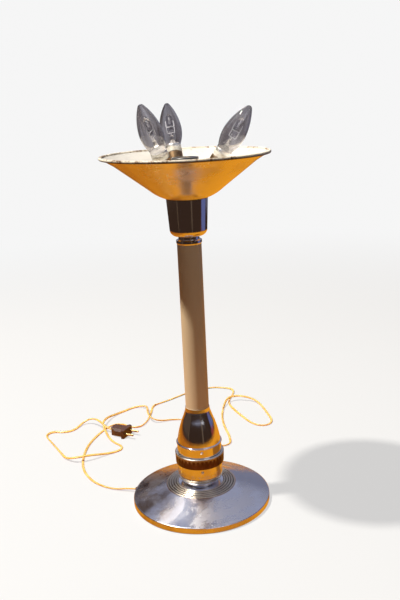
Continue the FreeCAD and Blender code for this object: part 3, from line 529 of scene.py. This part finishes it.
def rim_paint():
    """Cream paint on the rolled rim, chipped to rusty metal, most of all on the left, and painted
    shade in the same dark colours on the rim's underside.
    """
    shader = Shader("rim_paint")
    x, _, height = shader.position()
    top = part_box("shade_bowl")[1][2]
    chips = shader.noise(240.0, 5.0, 0.7, warp=0.8)
    run = shader.noise(30.0, 4.0, 0.6)
    left = (0.0 - x).step(-0.02, 0.13)
    chipped = (chips * 0.6 + run * 0.5 + left * 0.045).step(0.60, 0.66)
    # Painted shade: the lower part of the rolled rim, from 2 to 3 mm under its top, gets the dark
    # rust colours.
    under = 1.0 - (height + chips * 0.0012).step(top - 0.0030, top - 0.0020)
    rust_and_painted_shade = shader.mix(shader.noise(700.0, 3.0).step(0.4, 0.6),
                      (0.10, 0.045, 0.022), (0.26, 0.14, 0.07))
    cream = shader.mix(run.step(0.35, 0.7), (0.78, 0.71, 0.57), (0.58, 0.50, 0.38))
    shader.bump(0.0 - chipped, 0.0002, 0.6)
    chips_and_painted_shade = (chipped + under).clamped()
    return shader.finish(shader.mix(chips_and_painted_shade, cream, rust_and_painted_shade), (0.42 + chips_and_painted_shade * 0.35).clamped())


def column_paint():
    """Ivory enamel paint: brushed faintly, with fine dark specks and a little yellowing."""
    shader = Shader("column_paint")
    tone = shader.noise(9.0, 5.0, 0.6, stretch=(1.0, 1.0, 0.35))
    fine = shader.noise(300.0, 4.0, 0.6, stretch=(1.0, 1.0, 0.12))
    specks = (1.0 - shader.cells(210.0).step(0.04, 0.12)) * shader.noise(30.0, 2.0).step(0.55, 0.68)
    colour = shader.mix(tone.step(0.3, 0.7), (0.78, 0.60, 0.38), (0.70, 0.51, 0.30))
    colour = shader.mix(specks * 0.8, colour, (0.19, 0.10, 0.05))
    shader.bump(fine * 0.5 + tone - specks, 0.00012, 0.35)
    return shader.finish(colour, (0.30 + tone * 0.18 + specks * 0.2).clamped())


def ring_steel():
    """Dark browned steel of the switch ring, worn bright on its top edge and the flutes' crests."""
    shader = Shader("ring_steel")
    _, _, height = shader.position()
    outer, _, ring_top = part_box("switch_ring")[1]
    patches = shader.noise(60.0, 5.0, 0.65)
    grain = shader.noise(900.0, 3.0, 0.6)
    top = (height + patches * 0.0016).step(ring_top - 0.0007, ring_top + 0.0002)
    crest = (shader.radius() + patches * 0.0005).step(outer - 0.00016, outer + 0.0003)
    worn = (top + crest * 0.45).clamped()
    dark = shader.mix(patches.step(0.35, 0.7), (0.085, 0.036, 0.018), (0.15, 0.065, 0.032))
    colour = shader.mix(worn, dark, (0.72, 0.66, 0.58))
    shader.bump(grain * 0.5 + patches, 0.00012, 0.4)
    return shader.finish(colour, (0.26 + patches * 0.12 - worn * 0.06).clamped(), 0.95)


def plain_steel(name, tint, rough=0.32, metal=1.0):
    """Turned hardware: fine lines and small tarnish spots."""
    shader = Shader(name)
    tarnish = shader.noise(110.0, 5.0, 0.65)
    fine = shader.noise(1500.0, 2.0, 0.6)
    dark = tuple(value * 0.55 for value in tint)
    colour = shader.mix(tarnish.step(0.42, 0.75), tint, dark)
    shader.bump(fine * 0.4 + tarnish, 0.00008, 0.4)
    return shader.finish(colour, (rough * 0.8 + tarnish * rough * 0.6).clamped(), metal)


def glossy_moulding(name, tint, light):
    """Glossy moulding: nearly even colour with faint flow marks, dulled on the high places."""
    shader = Shader(name)
    flow = shader.noise(70.0, 6.0, 0.6, warp=1.5)
    fine = shader.noise(1200.0, 3.0, 0.6)
    colour = shader.mix(flow.step(0.35, 0.75), tint, light)
    shader.bump(fine * 0.4 + flow, 0.0001, 0.35)
    return shader.finish(colour, (0.24 + flow * 0.22).clamped())


def ceramic(name, tint, shade):
    """Porcelain or pressed board: broad soft tones and a fine grain."""
    shader = Shader(name)
    broad = shader.noise(40.0, 5.0, 0.6)
    grain = shader.noise(900.0, 3.0, 0.6)
    colour = shader.mix(broad.step(0.3, 0.7), tint, shade)
    shader.bump(grain * 0.3 + broad, 0.00012, 0.3)
    return shader.finish(colour, (0.28 + broad * 0.25).clamped())


def felt():
    """Short green felt with a lie of fibres."""
    shader = Shader("felt")
    fibres = shader.noise(1800.0, 4.0, 0.7, stretch=(1.0, 0.3, 1.0), warp=2.0)
    colour = shader.mix(fibres, (0.035, 0.055, 0.04), (0.10, 0.14, 0.10))
    shader.bump(fibres, 0.0004, 0.8)
    return shader.finish(colour, 0.95)


def cord_plastic():
    """Aged, slightly translucent yellow lead, a little soiled."""
    shader = Shader("cord_plastic", Subsurface_Weight=0.12, Subsurface_Scale=0.002)
    shader.surface.inputs["Subsurface Radius"].default_value = (1.0, 0.5, 0.15)
    soil = shader.noise(90.0, 5.0, 0.65)
    fine = shader.noise(900.0, 2.0, 0.6)
    colour = shader.mix(soil.step(0.34, 0.72), (0.96, 0.64, 0.20), (0.80, 0.44, 0.09))
    shader.bump(fine * 0.4 + soil, 0.0001, 0.3)
    return shader.finish(colour, (0.26 + soil * 0.2).clamped())


def lamp_glass(name, tint, dim):
    """Thin lamp glass, greyer in soft streaks along it, with a few smears."""
    shader = Shader(name, Transmission_Weight=1.0, IOR=1.47)
    smear = shader.noise(52.0, 4.0, 0.6, stretch=(1.0, 1.0, 0.4))
    colour = shader.mix(smear.step(0.3, 0.75), tint, dim)
    shader.bump(smear, 0.0004, 0.25)
    return shader.finish(colour, (smear.step(0.60, 0.9) * 0.04).clamped())


def satin_metal(name, tint, shade, rough):
    """Satin nickel or brass with soft stains, and small dark spots where it has gone off."""
    shader = Shader(name)
    stain = shader.noise(130.0, 5.0, 0.65)
    spots = (1.0 - shader.cells(620.0).step(0.08, 0.22)) * stain.step(0.45, 0.6)
    colour = shader.mix(stain.step(0.35, 0.72), tint, shade)
    colour = shader.mix(spots * 0.6, colour, (0.09, 0.06, 0.04))
    shader.bump(stain * 0.6 - spots, 0.00008, 0.4)
    return shader.finish(colour, (rough + stain * 0.18 + spots * 0.3).clamped(), 0.85)


def socket_metal(number):
    """Socket shell: a pale band at the mouth and browned brass below its groove."""
    shader = Shader("socket_metal_" + number)
    axis = bulb_axis(number)
    x, y, z = shader.position()
    along = x * axis.x + y * axis.y + z * axis.z
    mouth = highest(frame["nodes"]["socket_shell_" + number], axis).dot(axis)
    stain = shader.noise(120.0, 5.0, 0.65)
    spots = (1.0 - shader.cells(560.0).step(0.10, 0.24)) * stain.step(0.40, 0.6)
    pale = along.step(mouth - 0.0080, mouth - 0.0073)
    groove = along.band(mouth - 0.0079, mouth - 0.0068, 0.0002)
    brown = shader.mix(stain.step(0.35, 0.7), (0.36, 0.23, 0.11), (0.16, 0.09, 0.045))
    cream = shader.mix(stain.step(0.40, 0.7), (0.80, 0.76, 0.66), (0.58, 0.50, 0.38))
    colour = shader.mix(pale, brown, cream)
    colour = shader.mix((groove * 0.75 + spots * 0.45).clamped(), colour, (0.09, 0.055, 0.03))
    shader.bump(stain * 0.6 - spots, 0.0001, 0.4)
    return shader.finish(colour, (0.26 + stain * 0.2 + spots * 0.3).clamped(), 0.9 - pale * 0.65)


# ---------------------------------------------------------------- the lead
# Sizes and places in mm, and azimuths in degrees.
LEAD_D = 4.6
LOBE_R = 1.5  # radius of each of the lead's two round wires, in mm
LOW = LEAD_D / 2  # heights of the middle line in mm: on the table, over one crossing and over two
HIGH = LOW + 2 * LEAD_D
HIGHER = HIGH + LEAD_D + 1.0
BASE_R = 114.0
BUSH_AZ = 165.6
BUSH_Z = 5.6
BUSH_OUT = 2.6
PLUG_AT = (-142.3, 254.5)
PLUG_AZ = -28.0
PLUG_LEN = 34.0
PLUG_H = 17.0
SLOW_TWISTS = ((0.55, 9.0, 0.6), (0.35, 23.0, 2.0))  # radians of sway, rate and phase
HALF_TURNS = ((0.52, 1.0), (1.21, -1.0), (1.83, 1.0))  # metres along the lead, and which way over
HALF_TURN_SOFT = 0.006  # metres over which a half turn builds up
END_BLEND = 30.0  # rings from either end over which the lead comes down to the table


def exit_point(radius):
    """A point in mm on the line along which the lead leaves the foot."""
    angle = math.radians(BUSH_AZ)
    return (radius * math.cos(angle), radius * math.sin(angle), BUSH_Z)


def plug_point(along):
    """A point in mm on the plug's own line, from the middle of its face."""
    angle = math.radians(PLUG_AZ)
    return (PLUG_AT[0] + along * math.cos(angle), PLUG_AT[1] + along * math.sin(angle), PLUG_H / 2)


LEAD_ROUTE = [
    exit_point(BASE_R + BUSH_OUT),
    exit_point(BASE_R + BUSH_OUT + 14),
    (-148, 38, LOW),
    (-169, 49, LOW),
    (-189, 67, LOW),
    (-204, 91, LOW),
    (-215, 118, LOW),
    (-220, 147, LOW),
    (-221, 177, LOW),
    (-219, 207, LOW),
    (-213, 236, LOW),
    (-204, 262, LOW),
    (-194, 285, LOW),
    (-182, 304, LOW),
    (-169, 312, LOW),
    (-155, 308, LOW),
    (-144, 297, LOW),
    (-132, 289, LOW),
    (-119, 292, LOW),
    (-111, 305, LOW),
    (-105, 324, LOW),
    (-101, 348, LOW),
    (-99, 373, LOW),
    (-98, 394, LOW),
    (-84, 410, LOW),
    (-63, 426, LOW),
    (-40, 447, LOW),
    (-14, 468, LOW),
    (15, 482, LOW),
    (42, 490, LOW),
    (62, 483, LOW),
    (77, 477, LOW),
    (84, 464, LOW),
    (83, 447, LOW),
    (77, 427, LOW),
    (70, 406, LOW),
    (70, 380, LOW),
    (80, 350, LOW),
    (93, 319, LOW),
    (105, 292, LOW),
    (115, 277, LOW),
    (128, 268, LOW),
    (142, 270, LOW),
    (151, 282, LOW),
    (152, 301, LOW),
    (148, 323, LOW),
    (143, 352, LOW),
    (136, 380, LOW + 1.0),
    (124, 396, HIGH - 4.0),
    (106, 403, HIGH),
    (86, 410, HIGH),
    (67, 400, HIGH),
    (58, 376, LOW + 2.0),
    (53, 348, LOW),
    (51, 318, LOW),
    (52, 287, LOW),
    (56, 256, LOW),
    (60, 233, LOW),
    (61, 213, LOW),
    (61, 198, LOW),
    (55, 188, LOW),
    (45, 185, LOW),
    (36, 191, LOW),
    (33, 203, LOW),
    (30, 220, LOW),
    (22, 243, LOW),
    (10, 270, LOW),
    (-7, 299, LOW),
    (-29, 318, LOW),
    (-55, 320, LOW),
    (-78, 311, LOW + 2.0),
    (-95, 312, HIGH - 2.0),
    (-105, 334, HIGH),
    (-107, 362, HIGH),
    (-111, 385, HIGH - 3.0),
    (-124, 397, LOW + 2.0),
    (-142, 393, LOW),
    (-159, 376, LOW),
    (-177, 358, LOW + 1.0),
    (-191, 333, HIGH - 3.0),
    (-198, 303, HIGH),
    (-191, 272, HIGH),
    (-181, 247, LOW + 2.0),
    (-168, 224, LOW),
    (-153, 210, LOW),
    (-149, 194, LOW),
    (-162, 182, LOW),
    (-182, 172, LOW + 2.0),
    (-206, 156, HIGH),
    (-233, 148, HIGH),
    (-253, 162, LOW + 2.0),
    (-265, 186, LOW),
    (-279, 212, LOW),
    (-292, 236, LOW),
    (-303, 256, LOW),
    (-309, 270, LOW),
    (-305, 283, LOW),
    (-293, 288, LOW),
    (-279, 284, LOW),
    (-263, 286, LOW),
    (-251, 300, LOW),
    (-243, 320, LOW + 2.0),
    (-228, 326, HIGH),
    (-210, 309, HIGHER),
    (-197, 287, HIGHER),
    plug_point(-PLUG_LEN - 13),
    plug_point(-PLUG_LEN),
]


def lead_spline():
    """The points of the lead's middle line, in metres, read from its NURBS spline."""
    data = bpy.data.curves.new("lead_line", "CURVE")
    data.dimensions = "3D"
    spline = data.splines.new("NURBS")
    spline.points.add(len(LEAD_ROUTE) - 1)
    for point, place in zip(spline.points, LEAD_ROUTE):
        point.co = (place[0] * MM, place[1] * MM, place[2] * MM, 1.0)
    spline.order_u = 3
    spline.use_endpoint_u = True
    data.resolution_u = 12
    line = bpy.data.objects.new("lead_line", data)
    mesh = bpy.data.meshes.new_from_object(line)
    points = [vertex.co.copy() for vertex in mesh.vertices]
    bpy.data.objects.remove(line)
    bpy.data.meshes.remove(mesh)
    return points


def twist_at(distance):
    """How far the flat lead has turned over at a distance along it, in radians."""
    slow = sum(sway * math.sin(distance * rate + phase) for sway, rate, phase in SLOW_TWISTS)
    turns = sum(way * math.pi / (1.0 + math.exp(-(distance - middle) / HALF_TURN_SOFT))
                for middle, way in HALF_TURNS)
    return slow + turns


def lead_section(count=20):
    """Outline of the flat twin lead about its middle: two round wires side by side, in metres."""
    lobe = LOBE_R * MM
    apart = (LEAD_D * MM - 2 * lobe) / 2
    outline = []
    for i in range(count):
        a = 2 * math.pi * i / count
        c, s = math.cos(a), math.sin(a)
        side = apart * c + lobe * c
        waist = 1.0 - 0.30 * math.exp(-((side / (0.8 * MM)) ** 2))
        outline.append((side, lobe * waist * math.copysign(abs(s) ** 0.75, s)))
    return outline


def make_lead(material):
    """The flat twin lead along its route, laid on the table and on its own crossings."""
    points = lead_spline()
    section = lead_section()
    mesh = bmesh.new()
    rings = []
    path = []
    distance = 0.0
    for i, point in enumerate(points):
        before = points[max(i - 1, 0)]
        after = points[min(i + 1, len(points) - 1)]
        if i:
            distance += (point - before).length
        along = (after - before).normalized()
        across = Vector((0, 0, 1)).cross(along).normalized()
        upward = along.cross(across)
        turn = twist_at(distance)
        side = math.cos(turn) * across + math.sin(turn) * upward
        lift = math.cos(turn) * upward - math.sin(turn) * across
        ring = [side * u + lift * v for u, v in section]
        lowest = min(offset.z for offset in ring)
        blend = min(1.0, min(i, len(points) - 1 - i) / END_BLEND)
        drop = (LOW * MM + lowest) * blend
        middle = point - Vector((0, 0, drop))
        path.append(middle)
        rings.append([middle + offset for offset in ring])
    rings = [[path[0]]] + rings + [[path[-1]]]
    ringed(mesh, rings)
    piece = fill(mesh_piece("lead", "lamp", material), mesh, 60.0)
    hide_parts("power_lead")
    length = sum((b - a).length for a, b in zip(path, path[1:]))
    exit_place = tuple(value * MM for value in LEAD_ROUTE[0])


# ---------------------------------------------------------------- the bowl
def arc_points(start, through, end, count):
    """Points of the arc through three (radius, height) points, without the last one."""
    ax, ay = start
    bx, by = through
    cx, cy = end
    d = 2 * (ax * (by - cy) + bx * (cy - ay) + cx * (ay - by))
    sa, sb, sc = ax * ax + ay * ay, bx * bx + by * by, cx * cx + cy * cy
    ux = (sa * (by - cy) + sb * (cy - ay) + sc * (ay - by)) / d
    uy = (sa * (cx - bx) + sb * (ax - cx) + sc * (bx - ax)) / d
    radius = math.hypot(ax - ux, ay - uy)
    first = math.atan2(ay - uy, ax - ux)
    middle = math.atan2(by - uy, bx - ux)
    last = math.atan2(cy - uy, cx - ux)
    turn = 2 * math.pi
    if (middle - first) % turn < (last - first) % turn:
        sweep = (last - first) % turn
    else:
        sweep = -((first - last) % turn)
    angles = [first + sweep * i / count for i in range(count)]
    return [(ux + radius * math.cos(angle), uy + radius * math.sin(angle)) for angle in angles]


def line_points(start, end, count):
    """Evenly spaced points from start to end, without the last one."""
    (r, z), (last_r, last_z) = start, end
    return [(r + (last_r - r) * i / count, z + (last_z - z) * i / count) for i in range(count)]


# Sizes in mm. Points are (radius, height above the bowl's foot), up its outside.
BOWL_COUNT = 192
BOWL_BORE = 5.05
BOWL_FLAT = (24.0, 0.0)
BOWL_TURN = (42.7, 6.7)
BOWL_KNEE = (57.0, 16.6)
BOWL_FLARE = (108.0, 55.6)
BOWL_FLARE_MID = (118.0, 61.6)
BOWL_WALL = 1.0
BOWL_H = 67.0
BEAD_R = 2.3
BEAD_OPEN = 0.85  # radians by which the rolled rim stops short of a full turn
BEAD_COUNT = 22


def inward(point, back):
    """The inner skin's point over a point of the outer skin, in mm."""
    return (point[0] - back, point[1] + BOWL_WALL)


def bowl_profile(rim_r):
    """Outside, rolled rim and inside of the bowl, as three runs of (radius, height) in mm."""
    centre = (rim_r - BEAD_R, BOWL_H)
    rim = (rim_r - 2 * BEAD_R + 0.4, BOWL_H - 1.2)
    outside = line_points((BOWL_BORE, 0.0), BOWL_FLAT, 6)
    outside += arc_points(BOWL_FLAT, BOWL_TURN, BOWL_KNEE, 16)
    outside += line_points(BOWL_KNEE, BOWL_FLARE, 20)
    outside += arc_points(BOWL_FLARE, BOWL_FLARE_MID, rim, 10)
    turn = []
    start = math.atan2(rim[1] - centre[1], rim[0] - centre[0])
    for i in range(BEAD_COUNT):
        angle = start + (2 * math.pi - BEAD_OPEN) * i / BEAD_COUNT
        turn.append((centre[0] + BEAD_R * math.cos(angle), centre[1] + BEAD_R * math.sin(angle)))
    inner_flare = inward(BOWL_FLARE, 0.6)
    inner_knee = inward(BOWL_KNEE, 0.75)
    inner_flat = inward(BOWL_FLAT, 0.5)
    inside = arc_points(inward(rim, 0.3), inward(BOWL_FLARE_MID, 0.5), inner_flare, 10)
    inside += line_points(inner_flare, inner_knee, 20)
    inside += arc_points(inner_knee, inward(BOWL_TURN, 0.6), inner_flat, 16)
    inside += line_points(inner_flat, (BOWL_BORE, BOWL_WALL), 6)
    inside.append((BOWL_BORE, BOWL_WALL))
    return outside, turn, inside


def make_bowl(outer, paint, inner):
    """The spun bowl: chrome outside, a painted rolled rim and white enamel inside."""
    low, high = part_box("shade_bowl")
    outside, turn, inside = bowl_profile(high[0] / MM)
    points = [(r * MM, low[2] + z * MM) for r, z in outside + turn + inside]
    mesh = bmesh.new()
    rows = ringed(mesh, turned_rings(points, BOWL_COUNT), closed=True)
    owner = {}
    for index, row in enumerate(rows):
        slot = 0 if index < len(outside) else 1 if index < len(outside) + len(turn) else 2
        for vertex in row:
            owner[vertex] = slot
    for face in mesh.faces:
        face.material_index = min(owner[vertex] for vertex in face.verts)
        if face.material_index == 0 and max(owner[vertex] for vertex in face.verts) == 2:
            face.material_index = 2
    piece = fill(mesh_piece("bowl", "lamp", outer, paint, inner), mesh, 50.0)
    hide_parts("shade_bowl")


# ---------------------------------------------------------------- bulbs
def bulb_axis(number):
    """The direction in which a bulb comes out of its socket."""
    for joint in frame["joints"]:
        if joint["name"] == "bulb_" + number + "_out":
            return Vector(joint["axis"]).normalized()


def highest(node, axis):
    """The point of a CAD node that lies furthest along a direction."""
    return max((node.matrix_world @ vertex.co for vertex in node.data.vertices), key=axis.dot)


def bulb_placement(number, facing):
    """Puts a form built tip-down at z = 0 on a bulb's axis, its x turned by facing degrees."""
    axis = bulb_axis(number)
    glass = frame["nodes"]["bulb_glass_" + number]
    tip = highest(glass, axis)
    points = [glass.matrix_world @ vertex.co for vertex in glass.data.vertices]
    centre = sum(points, Vector()) / len(points)
    origin = centre + axis * (tip - centre).dot(axis)
    side = Vector((0.0, -1.0, 0.0)).cross(axis).normalized()
    front = axis.cross(side)
    turn = math.radians(facing)
    x_axis = math.cos(turn) * side + math.sin(turn) * front
    y_axis = axis.cross(x_axis)
    return Matrix.Translation(origin) @ Matrix((x_axis, y_axis, axis)).transposed().to_4x4()


def lathe_piece(name, body, profile, placement, material, count, sharp):
    """A turned piece from a (radius, height) profile in mm."""
    mesh = bmesh.new()
    ringed(mesh, turned_rings([(r * MM, z * MM) for r, z in profile], count))
    mesh.transform(placement)
    return fill(mesh_piece(name, body, material), mesh, sharp)


def wire(mesh, points, radius, count=8):
    """A round wire along points in mm, with closed ends."""
    path = [Vector(point) * MM for point in points]
    rings = []
    side = None
    for i, point in enumerate(path):
        along = (path[min(i + 1, len(path) - 1)] - path[max(i - 1, 0)]).normalized()
        if side is None:
            side = along.orthogonal().normalized()
        side = (side - along * side.dot(along)).normalized()
        lift = along.cross(side)
        angles = [2 * math.pi * k / count for k in range(count)]
        rings.append([point + radius * MM * (math.cos(a) * side + math.sin(a) * lift)
                      for a in angles])
    ringed(mesh, [[path[0]], *rings, [path[-1]]])


def rounded(corners, radius, steps=5):
    """A run of points whose inner corners are rounded."""
    points = [Vector(corners[0])]
    for before, corner, after in zip(corners, corners[1:], corners[2:]):
        before, corner, after = Vector(before), Vector(corner), Vector(after)
        start = corner + (before - corner).normalized() * radius
        end = corner + (after - corner).normalized() * radius
        for i in range(steps + 1):
            t = i / steps
            points.append((1 - t) ** 2 * start + 2 * t * (1 - t) * corner + t * t * end)
    points.append(Vector(corners[-1]))
    return points


# Bulbs, in mm: points are (radius, height below the tip), down the glass from its tip.
TIP_R = 5.0
TIP_TURN = 60.0  # degrees that the rounded tip turns through
GLASS_UPPER = (12.4, -20.0)
GLASS_WIDE = (17.4, -44.0)
GLASS_LOWER = (16.0, -59.0)
GLASS_NECK = (12.0, -71.0)
GLASS_END = (12.0, -74.0)
GLASS_THIN = 0.55  # the wall at the tip, and how much thicker it is at the neck
GLASS_THICKENS = 0.25


def tip_point(angle):
    """A point of the rounded tip, an angle away from its top."""
    return (TIP_R * math.sin(angle), -TIP_R * (1 - math.cos(angle)))


def envelope_profile():
    """Outside of the candle glass from its tip to its neck, then the inside back up, in mm."""
    lean = math.radians(TIP_TURN)
    shoulder = tip_point(lean)
    outside = [(0.0, 0.0)] + arc_points((0.0, 0.0), tip_point(lean / 2), shoulder, 6)[1:]
    outside += arc_points(shoulder, GLASS_UPPER, GLASS_WIDE, 22)
    outside += arc_points(GLASS_WIDE, GLASS_LOWER, GLASS_NECK, 16)
    outside += line_points(GLASS_NECK, GLASS_END, 3)
    inside = [(r - GLASS_THIN - GLASS_THICKENS * min(1.0, r / GLASS_NECK[0]), z)
              for r, z in outside if r > 3.0]
    inside = inside[::-1] + [(1.5, -1.15), (0.0, -0.95)]
    return outside + [GLASS_END, (11.2, GLASS_END[1])] + inside


CAPSULE = [(0.0, -18.2), (0.7, -18.8), (1.0, -19.8), (1.4, -20.8), (3.0, -21.5), (4.3, -22.8),
           (5.0, -24.6), (5.2, -27.0), (5.2, -36.0), (4.9, -38.6)]
# The capsule's pinched end: height, half width and half thickness.
PINCH = ((-40.2, 4.9, 3.2), (-41.4, 5.0, 1.5), (-42.4, 5.0, 1.1), (-47.6, 5.0, 1.1))
PINCH_END = -48.0
TRUMPET = [(10.9, -73.2), (10.1, -71.6), (7.8, -70.0), (5.4, -68.4), (3.8, -66.2), (3.0, -63.0),
           (2.7, -59.6), (2.9, -57.2), (2.2, -56.2), (0.0, -55.9)]
# Corners, radius of the bends and radius of the wire: the cradle, its two horns, its stem and the
# other lead.
WIRES = (
    ([(0.0, 1.7, -41.6), (5.9, 1.7, -41.6), (5.9, 1.7, -52.0), (-5.9, 1.7, -52.0),
      (-5.9, 1.7, -41.6), (-0.6, 1.7, -41.6)], 1.2, 0.75),
    ([(-5.9, 1.7, -42.8), (-6.4, 0.6, -38.0), (-5.9, 0.0, -31.0)], 1.5, 0.6),
    ([(5.9, 1.7, -42.8), (6.4, 0.6, -38.0), (5.9, 0.0, -31.0)], 1.5, 0.6),
    ([(0.0, 1.7, -52.4), (0.0, 1.2, -55.0), (0.0, 0.0, -57.5)], 1.0, 0.7),
    ([(2.2, 0.0, -47.8), (2.4, -0.8, -52.0), (1.4, -0.3, -57.2)], 1.4, 0.40),
)
COIL_R = 0.95
COIL_TOP = -24.6
COIL_LEN = 11.0
COIL_WIRE_R = 0.22
COIL_POINTS = 120
POINTS_PER_TURN = 10.0


def make_capsule(name, body, placement, material):
    """Quartz capsule: a domed tube drawn to a nib above and pinched flat below."""
    count = 40
    rings = turned_rings([(r * MM, z * MM) for r, z in CAPSULE], count)
    for height, wide, thin in PINCH:
        ring = []
        for i in range(count):
            c, s = math.cos(2 * math.pi * i / count), math.sin(2 * math.pi * i / count)
            ring.append((wide * MM * math.copysign(abs(c) ** 0.6, c),
                         thin * MM * math.copysign(abs(s) ** 0.8, s), height * MM))
        rings.append(ring)
    rings.append([(0.0, 0.0, PINCH_END * MM)])
    mesh = bmesh.new()
    ringed(mesh, rings)
    mesh.transform(placement)
    return fill(mesh_piece(name, body, material), mesh, 50.0)


def make_wires(name, body, placement, material):
    """The wire cradle under the capsule, its two leads, and the filament inside it."""
    mesh = bmesh.new()
    for corners, bend, thick in WIRES:
        wire(mesh, rounded(corners, bend), thick)
    coil = []
    for i in range(COIL_POINTS + 1):
        a = 2 * math.pi * i / POINTS_PER_TURN
        height = COIL_TOP - COIL_LEN * i / COIL_POINTS
        coil.append((COIL_R * math.cos(a), COIL_R * math.sin(a), height))
    wire(mesh, coil, COIL_WIRE_R, 6)
    mesh.transform(placement)
    return fill(mesh_piece(name, body, material), mesh, 60.0)


CAP_SKIRT = [(0.0, -73.6), (11.0, -73.6), (11.9, -73.75), (12.2, -74.2), (12.2, -76.5),
             (11.75, -76.8), (11.75, -77.2), (12.2, -77.5), (12.2, -78.6), (11.8, -79.0),
             (7.1, -79.6), (6.9, -80.5)]
CAP_CONTACT = [(6.0, -99.6), (2.4, -101.6), (2.4, -102.4), (1.6, -102.5), (0.0, -102.5)]
THREAD_R = 6.45  # mean radius of the cap's screw thread
THREAD_HALF_DEPTH = 0.42
THREAD_TOP = -81.0
THREAD_LEN = 18.0
THREAD_TURNS = 7
THREAD_STEPS = 6  # points for each turn


def cap_profile():
    """Grooved skirt, then the screw barrel with its rounded thread, and the centre contact."""
    thread = []
    count = THREAD_TURNS * THREAD_STEPS
    for i in range(count):
        wave = math.cos(2 * math.pi * i / THREAD_STEPS)
        thread.append((THREAD_R + THREAD_HALF_DEPTH * wave, THREAD_TOP - THREAD_LEN * i / count))
    return CAP_SKIRT + thread + CAP_CONTACT


def make_bulb(number, facing, looks):
    """One bulb: glass, quartz capsule, glass trumpet, wires and cap, on its own body."""
    body = "bulb_" + number
    placement = bulb_placement(number, facing)
    envelope = lathe_piece("envelope_" + number, body, envelope_profile(), placement,
                           looks["envelope"], 72, 75.0)
    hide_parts("bulb_glass_" + number)
    capsule = make_capsule("quartz_" + number, body, placement, looks["quartz"])
    trumpet = lathe_piece("trumpet_" + number, body, TRUMPET, placement,
                          looks["trumpet"], 48, 60.0)
    wires = make_wires("wires_" + number, body, placement, looks["wire"])
    for piece in (envelope, capsule, trumpet):
        piece.visible_shadow = False
    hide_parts("bulb_capsule_" + number)
    metal = lathe_piece("cap_" + number, body, cap_profile(), placement,
                        looks["cap"], 64, 40.0)
    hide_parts("bulb_cap_" + number)


def dress(node, material):
    """Gives a CAD node its material."""
    piece = frame["nodes"][node]
    piece.data.materials.clear()
    piece.data.materials.append(material)


bpy.context.scene.view_settings.view_transform = "Standard"
make_camera()
make_stage()
make_lights()
make_lead(cord_plastic())

steel = plain_steel("zinc_steel", (0.62, 0.61, 0.59))
bright_steel = plain_steel("bright_steel", (0.92, 0.90, 0.86), 0.42)
brass = plain_steel("dull_brass", (0.72, 0.52, 0.22))
brown_moulding = glossy_moulding("brown_moulding", (0.075, 0.030, 0.018), (0.13, 0.055, 0.030))
porcelain = ceramic("porcelain", (0.86, 0.84, 0.78), (0.76, 0.72, 0.64))
board = ceramic("pressed_board", (0.42, 0.33, 0.22), (0.30, 0.22, 0.14))
shell_chrome = chrome("shell_chrome")
make_bowl(chrome("bowl_chrome", haze=0.24, wear=0.15, waves=0.2), rim_paint(), enamel())
bulb_looks = {
    "envelope": lamp_glass("envelope_glass", (0.75, 0.735, 0.745), (0.61, 0.59, 0.60)),
    "quartz": lamp_glass("quartz_glass", (0.93, 0.93, 0.96), (0.84, 0.84, 0.88)),
    "trumpet": lamp_glass("trumpet_glass", (0.95, 0.95, 0.93), (0.86, 0.86, 0.84)),
    "wire": satin_metal("molybdenum", (0.86, 0.86, 0.88), (0.62, 0.62, 0.66), 0.22),
    "cap": satin_metal("nickel", (0.84, 0.82, 0.78), (0.62, 0.57, 0.49), 0.20),
}
for number, facing in (("1", 8.0), ("2", 0.0), ("3", 52.0)):
    make_bulb(number, facing, bulb_looks)
LOOKS = {
    "base_felt": felt(),
    "base_weight": plain_steel("cast_iron", (0.16, 0.155, 0.15), 0.7, 0.8),
    "base_disc": disc_chrome(),
    "lead_grommet": brown_moulding,
    "lower_shell": shell_chrome,
    "lower_shell_screws": bright_steel,
    "bell_screws": bright_steel,
    "switch_ring": ring_steel(),
    "switch_stator": board,
    "switch_studs": brass,
    "switch_spacer": board,
    "switch_rotor": board,
    "switch_wiper": brass,
    "bell": shell_chrome,
    "column_foot_collar": shell_chrome,
    "column_tube": column_paint(),
    "column_top_collar": shell_chrome,
    "neck_ring": shell_chrome,
    "socket_cup": shell_chrome,
    "cluster_body": porcelain,
    "cluster_lid": glossy_moulding("lid_black", (0.03, 0.028, 0.026), (0.06, 0.055, 0.05)),
    "cluster_nut": brass,
    "socket_shell_1": socket_metal("1"),
    "socket_shell_2": socket_metal("2"),
    "socket_shell_3": socket_metal("3"),
    "socket_liner": porcelain,
    "socket_contact": brass,
    "plug_body": brown_moulding,
    "plug_pins": brass,
    "plug_screw": brass,
}
for node in frame["nodes"]:
    dress(node, LOOKS.get(node) or LOOKS.get(node.rstrip("_123"), steel))
